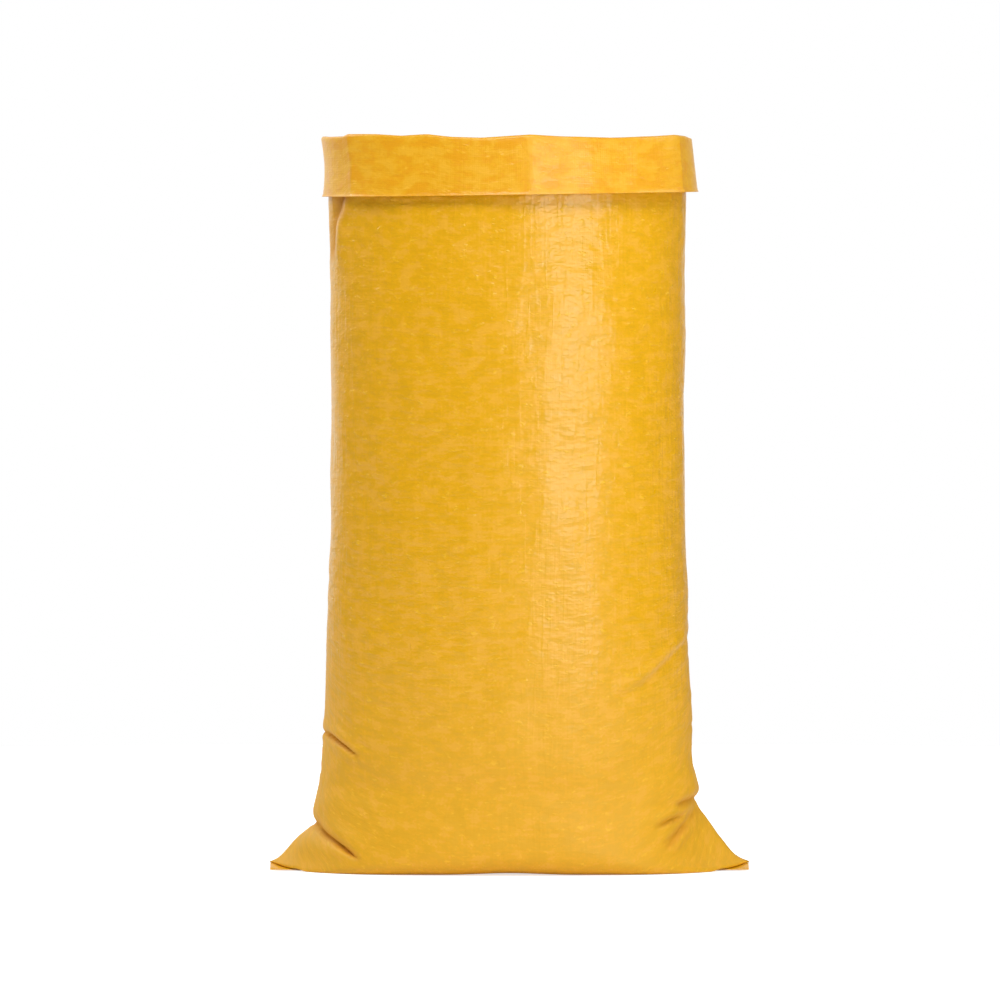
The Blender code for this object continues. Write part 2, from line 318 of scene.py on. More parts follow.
    def crease_height(self, across: np.ndarray) -> np.ndarray:
        """The height of the line where the belly folds over the ear.

        Args:
            across: Where the warps are.

        Returns:
            One height for each warp.
        """
        low = smooth_step(np.abs(across), 0.0, self.ear_start)
        middle = between(self.belly / 2, self.crease_low, low)
        notch = np.where(across < 0, self.notch_left, self.notch_right)
        return between(middle, notch, self.ear_share(across))

    def flank(self, across: np.ndarray, side: np.ndarray, height: np.ndarray) -> np.ndarray:
        """Points of the wall below the belly. It leans in to the foot, but not over the ears.

        Args:
            across: Where the warps are.
            side: Which panel they are in.
            height: A height for each warp.

        Returns:
            One point for each warp.
        """
        height = np.broadcast_to(np.asarray(height, float), across.shape)
        wall = self.wall(across, side, height)
        lean = (1 - height / self.belly) ** 2 * (1 - self.ear_share(across))
        offset = self.foot(across, side) - self.wall(across, side, np.zeros_like(height))
        return wall + offset * lean[:, None] * np.array([1.0, 1.0, 0.0])

    def over_hem(self, points: np.ndarray) -> np.ndarray:
        """Lifts points of the bottom over the hem, which lies under the front panel.

        Args:
            points: Any points of the fabric.

        Returns:
            The lifted points.
        """
        x, y, z = points[..., 0], points[..., 1], points[..., 2]
        behind = self.seam_height * (1 - smooth_step(y, 0.0, self.seam_rise))
        rise = between(self.seam_height, self.panel_over_hem, smooth_step(-y, 0.0, self.hem_step))
        before = rise * (1 - smooth_step(-y, self.hem_width + self.hem_step, self.landing))
        arch = self.foot_arch * bell(x, self.arch_reach)
        before = before + arch * smooth_step(-y, self.hem_width, self.foot_depth)
        lift = np.where(y > 0, behind, before) * (1 - smooth_step(z, 0.0, self.belly / 3))
        near_hem = np.where(y > 0, 1 - smooth_step(y, 0.0, self.hem_width), 1.0)
        at_tip = near_hem * self.hem_rise(x, y) * (1 - smooth_step(z, 0.0, self.tip_fade))
        return points + (lift + at_tip)[..., None] * UP

    def hem_rise(self, x: np.ndarray, y: np.ndarray) -> np.ndarray:
        """How far the hem stands off the floor at its ends. Its front edge stays down."""
        return self.tip_lift(x) * (1 - np.clip(-y / self.hem_width, 0.0, 1.0) ** self.twist_power)

    def tip_lift(self, x: np.ndarray) -> np.ndarray:
        """How far the seam stands off the floor near the ears' tips."""
        tip = np.clip((np.abs(x) - self.tip_from) / (self.seam_half - self.tip_from), 0.0, 1.0)
        return self.tip_rise * tip**self.tip_power

    def foot_bend(self, across: np.ndarray, side: np.ndarray) -> tuple[np.ndarray, np.ndarray, np.ndarray]:
        """Finds the bend where the fabric leaves the floor.

        Args:
            across: Where the warps are.
            side: Which panel they are in.

        Returns:
            The points before the bend, at its corner and after it.
        """
        foot = self.foot(across, side)
        floor = foot - self.seam(across)
        rise = self.flank(across, side, self.crease_height(across)) - foot
        tight = smooth_step(np.abs(across), *self.narrowing)
        radius = between(self.foot_radius, self.ear_radius, tight)
        floor_reach = np.minimum(radius, np.linalg.norm(floor, axis=-1))
        rise_reach = np.minimum(radius, self.rise_most * np.linalg.norm(rise, axis=-1))
        return foot - unit(floor) * floor_reach[:, None], foot, foot + unit(rise) * rise_reach[:, None]

    def ear_bows(self, across: np.ndarray) -> tuple[np.ndarray, np.ndarray]:
        """Finds how the ears' slopes bow.

        Args:
            across: Where the warps are.

        Returns:
            How far each warp bows out, and the power that moves the bow up or down the slope.
        """
        bow = np.where(across < 0, *self.ear_bow) * self.ear_share(across)
        outward = np.stack([np.sign(across) * bow, np.zeros_like(bow), np.zeros_like(bow)], axis=-1)
        return outward, np.where(across < 0, *self.bow_place)

    def lower_run(self, across: np.ndarray, side: np.ndarray, counts: LowerRows) -> list[np.ndarray]:
        """Rows of points from the seam to the belly.

        Args:
            across: Where the warps are.
            side: Which panel they are in.
            counts: How many rows each stretch has.

        Returns:
            The rows, each with one point for each warp.
        """
        start, height = self.seam(across), self.crease_height(across)
        crease = self.flank(across, side, height)
        before, foot, after = self.foot_bend(across, side)
        outward, power = self.ear_bows(across)
        rows = [start + (before - start) * s for s in np.linspace(0, 1, counts.floor)]
        for s in steps(counts.foot):
            rows.append(before * (1 - s) ** 2 + foot * 2 * s * (1 - s) + after * s**2)
        for s in steps(counts.rise):
            rows.append(after + (crease - after) * s + outward * np.sin(math.pi * s**power)[:, None])
        for s in steps(counts.belly):
            rows.append(self.flank(across, side, height + (self.belly - height) * s))
        return rows

    def rim(self, across: np.ndarray, side: np.ndarray) -> np.ndarray:
        """Finds the height of the fold at the mouth, from its measured knots.

        Args:
            across: Where the warps are.
            side: Which panel they are in.

        Returns:
            One height for each warp.
        """
        x = self.wall(across, side, self.height)[:, 0]
        ahead = np.interp(x, *np.array(self.rim_front).T)
        behind = np.interp(x, *np.array(self.rim_back).T)
        return np.where(side < 0, ahead, behind)

    def outward(self, across: np.ndarray, side: np.ndarray, height: np.ndarray) -> np.ndarray:
        """The level direction straight out of the wall.

        Args:
            across: Where the warps are.
            side: Which panel they are in.
            height: A height for each warp.

        Returns:
            One direction for each warp.
        """
        ahead, behind = across + self.nudge, across - self.nudge
        along = self.wall(ahead, side, height) - self.wall(behind, side, height)
        out = np.stack([-along[:, 1], along[:, 0], np.zeros(len(across))], axis=-1)
        return unit(out) * side[:, None]

    def upper_run(self, across: np.ndarray, side: np.ndarray, counts: UpperRows) -> list[np.ndarray]:
        """Rows of points from the belly up, over the rim and down the cuff.

        Args:
            across: Where the warps are.
            side: Which panel they are in.
            counts: How many rows each stretch has.

        Returns:
            The rows, each with one point for each warp.
        """
        top = self.rim(across, side) - self.fold_radius
        heights = counts.heights(self.belly)
        shares = (heights - self.belly) / (heights[-1] - self.belly)
        rows = [self.wall(across, side, self.belly + (top - self.belly) * s) for s in shares]
        edge, out = rows[-1], self.outward(across, side, top)
        for turn in np.linspace(0, math.pi, counts.fold + 1)[1:]:
            rows.append(edge + out * self.fold_radius * (1 - math.cos(turn))
                        + UP * self.fold_radius * math.sin(turn))
        right = 0.5 + 0.5 * np.sin(math.pi / 2 * across)
        fall = top - between(*self.cuff_edge, right)
        flare = between(*self.cuff_flare, right) + self.cuff_bulge * np.cos(math.pi / 2 * across) ** 2
        start = rows[-1]
        for s in 1 - (1 - steps(counts.cuff)) ** self.cuff_spacing:
            waist = self.cuff_waist * (1 - right) ** self.waist_power * math.sin(math.pi * s)
            rows.append(start + out * (flare * s - waist)[:, None] - UP * fall[:, None] * s)
        return rows


@dataclass(frozen=True)
class Fold:
    """A sharp fold, along a line of (x, z) places as they are seen from the front or the back.

    The fabric stands up a little beside it: over is the height above the line, and lip the one below it.
    """

    line: Line
    depth: float
    width: float
    over: float = 0.0
    lip: float = 0.0
    reach: float = 0.012
    start: float = 0.0
    side: int = -1
    facing: Span = (-0.050, -0.004)
    opens_by: float = 0.35
    closes_from: float = 0.55
    sharpness: float = 1.4
    over_place: float = 0.8
    lip_place: float = 0.5
    hump_width: float = 0.8
    # A fold deeper than the first of these gets painted shade in its bottom, made stronger by the second.
    painted_shade_depth: float = 0.0030
    painted_shade_gain: float = 1.6

    def nearest(self, points: np.ndarray) -> tuple[np.ndarray, np.ndarray, np.ndarray]:
        """Where each point is beside the fold's line.

        Args:
            points: The fabric's points.

        Returns:
            How far it is from the line, how far above it, and how strong the fold is there.
        """
        place = points[..., [0, 2]]
        best = np.full(place.shape[:-1], np.inf)
        above, along = np.zeros_like(best), np.zeros_like(best)
        stops = np.array(self.line)
        lengths = np.linalg.norm(np.diff(stops, axis=0), axis=1)
        total, run = lengths.sum(), 0.0
        for a, b, length in zip(stops[:-1], stops[1:], lengths):
            way = (b - a) / length
            up = np.array([-way[1], way[0]]) * (1.0 if way[0] >= 0 else -1.0)
            reach = np.clip((place - a) @ way, 0.0, length)
            gap = place - a - reach[..., None] * way
            distance = np.linalg.norm(gap, axis=-1)
            nearer = distance < best
            best = np.where(nearer, distance, best)
            above = np.where(nearer, gap @ up, above)
            along = np.where(nearer, (run + reach) / total, along)
            run += length
        opening = self.start + (1 - self.start) * smooth_step(along, 0.0, self.opens_by)
        ends = opening * (1 - smooth_step(along, self.closes_from, 1.0))
        return best, above, ends * smooth_step(points[..., 1] * self.side, *self.facing)

    def push(self, points: np.ndarray) -> np.ndarray:
        """How far the fold pushes each point out of the fabric.

        Args:
            points: The fabric's points.

        Returns:
            The distance, which is negative inwards.
        """
        distance, above, strength = self.nearest(points)
        valley = -self.depth * np.exp(-((distance / self.width) ** self.sharpness))
        spot = self.reach * np.where(above > 0, self.over_place, self.lip_place)
        hump = bell(distance - spot, spot * self.hump_width)
        hump = hump * np.where(above > 0, self.over, self.lip)
        return (valley + hump) * strength

    def shadow(self, points: np.ndarray) -> np.ndarray:
        """How deep each point lies in the fold.

        Args:
            points: The fabric's points.

        Returns:
            Its share of painted shade, from 0 to 1 in a deep fold's bottom.
        """
        distance, _, strength = self.nearest(points)
        deep = min(max(self.depth / self.painted_shade_depth - 1.0, 0.0), 1.0)
        return deep * bell(distance, self.width) * np.minimum(strength * self.painted_shade_gain, 1.0)


@dataclass(frozen=True)
class Ridge:
    """A bend that runs up the fabric, along a line of (x, z) places, with a height at each."""

    line: tuple[tuple[float, float, float], ...]
    left_reach: float
    right_reach: float
    side: int = -1
    facing: Span = (-0.030, 0.020)

    def push(self, points: np.ndarray) -> np.ndarray:
        """How far the ridge pushes each point out of the fabric.

        Args:
            points: The fabric's points.

        Returns:
            The distance.
        """
        x, z, height = np.array(sorted(self.line, key=lambda stop: stop[1])).T
        gap = points[..., 0] - np.interp(points[..., 2], z, x)
        height = np.interp(points[..., 2], z, height)
        reach = np.where(gap < 0, self.left_reach, self.right_reach)
        return height * np.exp(-np.abs(gap) / reach) * smooth_step(points[..., 1] * self.side, *self.facing)


@dataclass(frozen=True)
class Ripples:
    """Uneven waves over the flat fabric. They are a sum of plain ones, and close round the tube."""

    seed: int
    across: float
    along: float
    height: float
    slant: float = 0.0
    count: int = 56

    def push(self, flat: np.ndarray, girth: float) -> np.ndarray:
        """How far the waves push each point out of the fabric.

        Args:
            flat: The place of each point on the flat fabric, across and along it.
            girth: The tube's girth.

        Returns:
            The distance.
        """
        rng = np.random.default_rng(self.seed)
        turns = np.rint(rng.normal(0.0, girth / self.across, self.count))
        rises = rng.normal(0.0, 1 / self.along, self.count) + self.slant * turns / girth
        starts = rng.uniform(0.0, 2 * math.pi, self.count)
        total = np.zeros(flat.shape[:-1])
        for turn, rise, start in zip(turns, rises, starts):
            total += np.cos(2 * math.pi * (turn * flat[..., 0] / girth + rise * flat[..., 1]) + start)
        return self.height * math.sqrt(2 / self.count) * total


def ring_quads(rows: int, columns: int, start: int = 0) -> np.ndarray:
    """Lists the faces of a grid that closes round its columns.

    Args:
        rows: How many rows of points it has.
        columns: How many points each row has.
        start: The number of its first point.

    Returns:
        The numbers of each face's four points.
    """
    corner = np.arange(rows * columns).reshape(rows, columns) + start
    beside = np.roll(corner, -1, axis=1)
    return np.stack([corner[:-1], beside[:-1], beside[1:], corner[1:]], axis=-1).reshape(-1, 4)


def make_piece(name: str, mesh: bpy.types.Mesh, values: dict[str, np.ndarray]) -> bpy.types.Object:
    """Puts a mesh in the scene, and joins its points that are at the same place.

    Args:
        name: The piece's name.
        mesh: Its mesh.
        values: Numbers for each point, by their names.

    Returns:
        The piece.
    """
    for key, numbers in values.items():
        layer = mesh.attributes.new(key, "FLOAT", "POINT")
        layer.data.foreach_set("value", numbers.astype(np.float32).ravel())
    shape = bmesh.new()
    shape.from_mesh(mesh)
    bmesh.ops.remove_doubles(shape, verts=shape.verts, dist=WELD_DISTANCE)
    shape.to_mesh(mesh)
    shape.free()
    piece = bpy.data.objects.new(name, mesh)
    bpy.context.scene.collection.objects.link(piece)
    return piece


@dataclass
class Sheet:
    """Grids of points that are joined into one mesh, with the flat fabric's places as its UV map."""

    name: str
    points: list[np.ndarray] = field(default_factory=list)
    quads: list[np.ndarray] = field(default_factory=list)
    flats: list[np.ndarray] = field(default_factory=list)
    finishes: list[np.ndarray] = field(default_factory=list)
    count: int = 0

    def add(self, points: np.ndarray, flat: np.ndarray, girth: float,
            finish: np.ndarray | int = Face.COATED.value) -> None:
        """Adds a grid that closes round its columns.

        Args:
            points: Rows of points.
            flat: The place of each point on the flat fabric.
            girth: How far across the flat fabric the columns go, back to the first.
            finish: The finish of each row of faces.
        """
        rows, columns = points.shape[:2]
        beside = np.roll(flat, -1, axis=1)
        beside[:, -1, 0] += girth
        flats = np.stack([flat[:-1], beside[:-1], beside[1:], flat[1:]], axis=-2)
        self.points.append(points.reshape(-1, 3))
        self.quads.append(ring_quads(rows, columns, self.count))
        self.flats.append(flats.reshape(-1, 2))
        self.finishes.append(np.repeat(np.broadcast_to(finish, rows - 1), columns))
        self.count += rows * columns

    def build(self, values: dict[str, np.ndarray] | None = None) -> bpy.types.Object:
        """Makes the piece.

        Args:
            values: Numbers for each point, by their names.

        Returns:
            Its object, in the scene.
        """
        mesh = bpy.data.meshes.new(self.name)
        mesh.from_pydata(np.concatenate(self.points).tolist(), [], np.concatenate(self.quads).tolist())
        layer = mesh.uv_layers.new(name="weave")
        layer.data.foreach_set("uv", np.concatenate(self.flats).astype(np.float32).ravel())
        mesh.polygons.foreach_set("material_index", np.concatenate(self.finishes).astype(np.int32))
        mesh.shade_smooth()
        return make_piece(self.name, mesh, values or {})


@dataclass
class WovenTube:
    """The sack's fabric: its grid of warp lines, its folds, its two faces and their finish."""

    form: SackForm
    columns: int = 352
    lower: LowerRows = LowerRows()
    upper: UpperRows = UpperRows()
    thickness: float = 0.0004
    inner_down_to: float = 0.700
    crowd: float = 1.6
    crowd_place: float = 0.78
    crowd_reach: float = 0.20
    samples: int = 4001
    back_share: float = 0.42
    folds: tuple[Fold, ...] = ()
    wall_ridges: tuple[Ridge, ...] = ()
    cuff_ridges: tuple[Ridge, ...] = ()
    mouth_waves: tuple[tuple[float, float, float], ...] = (
        (0.018, 0.0022, 0.030), (0.072, 0.0016, 0.016), (-0.090, -0.0018, 0.030), (0.125, -0.0012, 0.018))
    weft_levels: Span = (0.03, 0.40)
    mouth_from: Span = (0.69, 0.80)
    resting: Span = (0.004, 0.040)
    calm: float = 0.7
    calm_from: Span = (0.74, 0.80)
    edge_curl: float = 0.0012
    edge_reach: float = 0.0016
    ripples: tuple[Ripples, ...] = (
        Ripples(11, 0.120, 0.200, 0.00060), Ripples(12, 0.034, 0.030, 0.00014),
        Ripples(13, 0.016, 0.050, 0.00006))
    across: np.ndarray = field(init=False)
    side: np.ndarray = field(init=False)
    grid: np.ndarray = field(init=False)
    flat: np.ndarray = field(init=False)
    # The crease share: how much painted shade each point gets in a fold's bottom.
    crease: np.ndarray = field(init=False)

    def warps(self) -> None:
        """Places the warp lines, which are closer towards the two ears and on the front."""
        behind = int(self.columns * self.back_share)
        ahead = self.columns - behind
        fine = np.linspace(-1.0, 1.0, self.samples)
        weight = 1.0 + self.crowd * bell(np.abs(fine) - self.crowd_place, self.crowd_reach)
        share = np.concatenate([[0.0], np.cumsum((weight[1:] + weight[:-1]) / 2)])
        share = share / share[-1]
        front = np.interp(np.arange(ahead) / ahead, share, fine)
        back = np.interp(np.arange(behind) / behind, share, fine)
        self.across = np.concatenate([front, -back])
        self.side = np.concatenate([np.full(ahead, -1.0), np.full(behind, 1.0)])

    def draw(self) -> None:
        """Lays out the grid of the fabric's middle, and where each point is on the flat fabric."""
        self.warps()
        rows = self.form.lower_run(self.across, self.side, self.lower)
        rows += self.form.upper_run(self.across, self.side, self.upper)
        self.grid = self.form.over_hem(np.array(rows)) + UP * self.thickness / 2
        steps = np.linalg.norm(np.diff(self.grid, axis=0), axis=-1)
        along = np.concatenate([np.zeros((1, self.columns)), np.cumsum(steps, axis=0)])
        level_from = sum((self.lower.floor, self.lower.foot, self.lower.rise, self.lower.belly)) - 1
        shift = along[level_from].max() - along[level_from]
        along = along + shift * smooth_step(self.grid[..., 2], *self.weft_levels)
        width = self.form.flat_width
        u = np.where(self.side < 0, (1 + self.across) / 2, 1 + (1 - self.across) / 2) * width
        self.flat = np.stack([np.broadcast_to(u, along.shape), along], axis=-1)

    @property
    def cuff_start(self) -> int:
        """The first row on the cuff's side of the rim."""
        return len(self.grid) - self.upper.cuff - self.upper.fold // 2 - 1

    def normals(self) -> np.ndarray:
        """Finds the direction out of the fabric's coated face.

        Returns:
            One direction for each point of the grid.
        """
        around = np.roll(self.grid, -1, axis=1) - np.roll(self.grid, 1, axis=1)
        along = np.gradient(self.grid, axis=0)
        return unit(np.cross(around, along))

    def level(self) -> np.ndarray:
        """The level direction out of the sack at each warp, at the mouth."""
        return self.form.outward(self.across, self.side, np.full(self.columns, self.form.height))

    def soften(self, rounds: int) -> None:
        """Eases the grid's kinks along each warp, up to the middle of the wall.

        Args:
            rounds: How many times each point moves towards its neighbours.
        """
        last = len(self.grid) - self.upper.cuff - self.upper.fold - self.upper.stretches[-1][1]
        for _ in range(rounds):
            middle = (self.grid[:-2] + 2 * self.grid[1:-1] + self.grid[2:]) / 4
            self.grid[1:last] = middle[: last - 1]

    def shape_mouth(self) -> None:
        """Lays the slack mouth in soft upright waves, bends its corners and curls the cut edge."""
        x, z = self.grid[..., 0], self.grid[..., 2]
        wave = np.zeros_like(x)
        for place, height, reach in self.mouth_waves:
            wave += height * bell(x - place, reach)
        push = wave * smooth_step(z, *self.mouth_from)
        on_cuff = np.arange(len(self.grid))[:, None] >= self.cuff_start
        for ridge in self.wall_ridges:
            push += ridge.push(self.grid) * ~on_cuff
        for ridge in self.cuff_ridges:
            push += ridge.push(self.grid) * on_cuff
        to_edge = self.flat[-1, :, 1][None] - self.flat[..., 1]
        push += self.edge_curl * np.exp(-to_edge / self.edge_reach)
        self.grid = self.grid + self.level()[None] * push[..., None]

    def fold(self) -> None:
        """Presses each fold into the grid below the cuff, and notes how deep each point lies in it."""
        self.crease = np.zeros(self.grid.shape[:2])
        on_wall = np.arange(len(self.grid))[:, None] < self.cuff_start
        for fold in self.folds:
            # The crease share is painted shade: the finishes darken the folds' bottoms by it.
            self.crease = np.maximum(self.crease, fold.shadow(self.grid) * on_wall)
            self.grid = self.grid + self.normals() * (fold.push(self.grid) * on_wall)[..., None]

    def ripple(self) -> None:
        """Lays the small unevenness of the filled fabric on the grid, but not where it rests."""
        push = np.zeros(self.grid.shape[:2])
        for ripples in self.ripples:
            push += ripples.push(self.flat, 2 * self.form.flat_width)
        z = self.grid[..., 2]
        on_wall = np.arange(len(self.grid))[:, None] < self.cuff_start
        share = smooth_step(z, *self.resting) * on_wall
        share = share * (1 - self.calm * smooth_step(z, *self.calm_from))
        self.grid = self.grid + self.normals() * (push * share)[..., None]

    def inner_rows(self) -> np.ndarray:
        """Lists the grid's rows that the bare face follows: up the cuff, over the rim and down the wall.

        Returns:
            The rows' numbers. Down the wall it is every second row.
        """
        back = len(self.grid) - 1 - np.arange(self.upper.cuff + self.upper.fold)
        lowest = int(np.argmax(self.grid[:, 0, 2] > self.inner_down_to))
        return np.concatenate([back, np.arange(back[-1] - 1, lowest - 1, -2)])

    def build(self) -> bpy.types.Object:
        """Makes the mesh, with the coated face outside and the bare one back along it.

        Returns:
            The sack's fabric.
        """
        offset = self.normals() * self.thickness / 2
        back = self.inner_rows()
        points = np.concatenate([self.grid + offset, (self.grid - offset)[back]])
        flat = np.concatenate([self.flat, self.flat[back]])
        finish = np.full(len(points) - 1, Face.COATED.value)
        finish[len(self.grid) - 1:] = Face.BARE.value
        sheet = Sheet("woven_fabric")
        sheet.add(points, flat, 2 * self.form.flat_width, finish)
        # The crease share goes with the mesh, for the painted shade in the folds.
        return sheet.build({"crease": np.concatenate([self.crease, self.crease[back]])})


@dataclass(frozen=True)
class BottomHem:
    """The folded end of the tube, a flat roll of fabric that lies forward under the sack."""

    form: SackForm
    height: float = 0.0017
    half_thickness: float = 0.0006
    short: float = 0.0012
    seam_gap: float = 0.0003
    steps: int = 180
    steps_within: Span = (0.008, 0.992)
    end_places: tuple[float, ...] = (0.0, 0.0, 0.0005, 0.002)
    end_openings: Span = (0.0, 0.6)
    around: int = 28
    face_power: float = 0.5
    edge_power: float = 0.35
    layers: int = 3
    groove: float = 0.00010
    pucker: float = 0.000125
    pucker_within: float = 0.9
    stitch: float = 0.007
    cloth_start: float = 1.0

    def sections(self) -> tuple[np.ndarray, np.ndarray]:
        """Places the sections along the hem.

        Returns:
            Where each one is, and how far it is open, from 0 at the closed ends to 1.
        """
        length = self.form.seam_half - self.short
        ends = np.array(self.end_places) / (2 * length)
        along = np.concatenate([ends, np.linspace(*self.steps_within, self.steps), 1 - ends[::-1]])
        opening = np.ones_like(along)
        opening[:2] = self.end_openings
        opening[-2:] = self.end_openings[::-1]
        return (2 * along - 1) * length, opening

    def build(self) -> bpy.types.Object:
        """Makes the strip, rounded at both long edges and closed at its ends.

        Returns:
            The hem.
        """
        x, opening = self.sections()
        half_width = (self.form.hem_width - self.seam_gap) / 2
        turn = np.arange(self.around) * 2 * math.pi / self.around
        upper = np.sign(np.sin(turn))
        across = np.sign(np.cos(turn)) * np.abs(np.cos(turn)) ** self.face_power
        roll = upper * np.abs(np.sin(turn)) ** self.edge_power * self.half_thickness
        ridges = self.groove * np.cos(across * math.pi * self.layers) * upper
        puckers = self.pucker * np.sin(math.pi * x / self.stitch)[:, None]
        puckers = puckers * (np.abs(across) < self.pucker_within)
        grid_x, grid_y = np.meshgrid(x, -self.seam_gap - half_width * (1 + across), indexing="ij")
        lift = (roll + ridges + puckers) * opening[:, None]
        z = self.height + self.form.hem_rise(grid_x, grid_y) + lift
        cloth_x = np.broadcast_to(turn / math.pi * half_width, z.shape)
        sheet = Sheet("bottom_hem")
        sheet.add(np.stack([grid_x, grid_y, z], axis=-1),
                  np.stack([cloth_x, grid_x + self.cloth_start], axis=-1), 2 * half_width)
        return sheet.build()


@dataclass(frozen=True)
class ChainStitch:
    """Two strands of thread that cross at each needle hole, under the hem."""

    form: SackForm
    inset: float = 0.012
    short: float = 0.004
    stitch: float = 0.007
    swing: float = 0.0010
    radius: float = 0.00035
    hover: float = 0.0004
    crossing: float = 0.45
    steps_per_stitch: int = 8
    sides: int = 6

    def strand(self, phase: float) -> np.ndarray:
        """The path of one strand.

        Args:
            phase: 1 or -1, the side that it swings to first.

        Returns:
            Its points.
        """
        half = self.form.seam_half - self.short
        count = int(2 * half / self.stitch) * self.steps_per_stitch
        x = np.linspace(-half, half, count + 1)
        turn = math.pi * (x + half) / self.stitch
        y = -self.inset + phase * self.swing * np.sin(turn)
        below = self.form.hem_rise(x, y) + self.hover
        z = below + phase * self.radius * self.crossing * np.cos(turn)
        return np.stack([x, y, np.maximum(z, self.radius)], axis=-1)

    def build(self) -> bpy.types.Object:
        """Makes both strands.

        Returns:
            The seam's thread.
        """
        sheet = Sheet("seam_stitches")
        turn = np.arange(self.sides) * 2 * math.pi / self.sides
        for phase in (1.0, -1.0):
            path = self.strand(phase)
            ahead = unit(np.gradient(path, axis=0))
            out = unit(np.cross(ahead, UP))
            up = np.cross(out, ahead)
            ring = out[:, None] * np.cos(turn)[None, :, None] + up[:, None] * np.sin(turn)[None, :, None]
            first, last = (np.repeat(path[end][None, None], self.sides, axis=1) for end in (0, -1))
            rings = np.concatenate([first, path[:, None] + self.radius * ring, last])
            sheet.add(rings, rings[..., :2], 0.0)
        return sheet.build()


@dataclass(frozen=True)
class DryFill:
    """The top of the dry goods: a mound with loose grains on it."""

    form: SackForm
    folds: tuple[Fold, ...] = ()
    level: float = 0.7255
    mound: float = 0.0100
    waves: tuple[tuple[float, float, float, float], ...] = (
        (0.0010, 101.0, 27.0, 0.6), (0.0009, -38.0, 97.0, 2.1), (0.0007, 62.0, -71.0, 4.0))
    floor: float = 0.7020
    inset: float = 0.0018
    draw_back: float = 1.3
    rings: int = 26
    ring_spacing: float = 0.8
    around: int = 96
    ground_tone: float = 0.35
    spacing: float = 0.0066
    row_spacing: float = 0.87
    scatter: Span = (-0.3, 0.3)
    rise: Span = (0.0, 0.0022)
    edge_gap: float = 0.55
    grain: float = 0.0036
    grain_size: Span = (0.72, 1.18)
    grain_stretch: Span = (0.80, 1.12)
    kinds: int = 9
    cuts: int = 7
    cut_depth: Span = (0.62, 0.95)
    cut_share: float = 0.85
    seed: int = 5

    def surface(self, x: np.ndarray, y: np.ndarray, share: np.ndarray) -> np.ndarray:
        """The height of the goods, where share is 0 in the middle and 1 at the fabric."""
        heaps = sum(height * np.sin(across * x + along * y + start)
                    for height, across, along, start in self.waves)
        return self.level + self.mound * (1 - share**2) + heaps * (1 - share**4)

    def outline(self, count: int) -> np.ndarray:
        """Points inside the fabric at the goods' level.

        Args:
            count: How many.

        Returns:
            The points, round the sack from the left.
        """
        half = count // 2
        steps = np.arange(half) * 2 / half
        across = np.concatenate([-1 + steps, 1 - steps])
        side = np.concatenate([np.full(half, -1.0), np.full(half, 1.0)])
        wall = self.form.wall(across, side, np.full(count, self.level))
        out = self.form.outward(across, side, np.full(count, self.level))
        hollow = sum(np.minimum(fold.push(wall), 0.0) for fold in self.folds)
        return wall + out * (hollow * self.draw_back - self.inset)[:, None]

    def grain_shapes(self, rng: np.random.Generator) -> tuple[list[np.ndarray], np.ndarray]:
        """A few uneven grains about 1 across.

        Args:
            rng: Where the unevenness comes from.

        Returns:
            The points of each kind, and the triangles that all kinds share.
        """
        shape = bmesh.new()
        bmesh.ops.create_icosphere(shape, subdivisions=2, radius=1.0)
        ball = np.array([vertex.co[:] for vertex in shape.verts])
        faces = np.array([[vertex.index for vertex in face.verts] for face in shape.faces])
        shape.free()
        kinds = []
        for _ in range(self.kinds):
            cuts = unit(rng.normal(size=(self.cuts, 3)))
            depths = rng.uniform(*self.cut_depth, self.cuts)
            over = np.maximum(ball @ cuts.T - depths, 0.0)
            kinds.append(ball - self.cut_share * over @ cuts)
        return kinds, faces

    def ground(self, rim: np.ndarray, middle: np.ndarray) -> np.ndarray:
        """Draws the mound, closed below.

        Args:
            rim: The outline of the goods.
            middle: The middle of the outline.

        Returns:
            Rows of points round the sack.
        """
        shares = np.linspace(0.0, 1.0, self.rings) ** self.ring_spacing
        xy = middle[:2] + (rim[:, :2] - middle[:2])[None] * shares[:, None, None]
        z = self.surface(xy[..., 0], xy[..., 1], shares[:, None])
        top = np.concatenate([xy, z[..., None]], axis=-1)
        foot = top[-1:].copy()
        foot[..., 2] = self.floor
        under = np.broadcast_to(np.array([middle[0], middle[1], self.floor]), foot.shape)
        return np.concatenate([top, foot, under])[::-1]

    def build(self) -> bpy.types.Object:
        """Makes the mound and lays the grains on it.

        Returns:
            The visible top of the goods.
        """
        rng = np.random.default_rng(self.seed)
        rim = self.outline(self.around)
        middle = rim.mean(axis=0)
        ground = self.ground(rim, middle)
        kinds, faces = self.grain_shapes(rng)
        places = self.grain_places(rng, rim, middle)
        start = ground.shape[0] * ground.shape[1]
        points, triangles, tones = [ground.reshape(-1, 3)], [], [np.full(start, self.ground_tone)]
        for place in places:
            kind = kinds[int(rng.integers(self.kinds))]
            size = self.grain * rng.uniform(*self.grain_size) * rng.uniform(*self.grain_stretch, 3)
            turn = Vector(rng.normal(size=3)).to_track_quat("Z", "Y").to_matrix()
            points.append((kind * size) @ np.array(turn).T + place)
            triangles.append(faces + start)
            tones.append(np.full(len(kind), rng.uniform(0.0, 1.0)))
            start += len(kind)
        polygons = ring_quads(*ground.shape[:2]).tolist() + np.concatenate(triangles).tolist()
        mesh = bpy.data.meshes.new("dry_goods")
        mesh.from_pydata(np.concatenate(points).tolist(), [], polygons)
        return make_piece("dry_goods", mesh, {"grain_tone": np.concatenate(tones)})

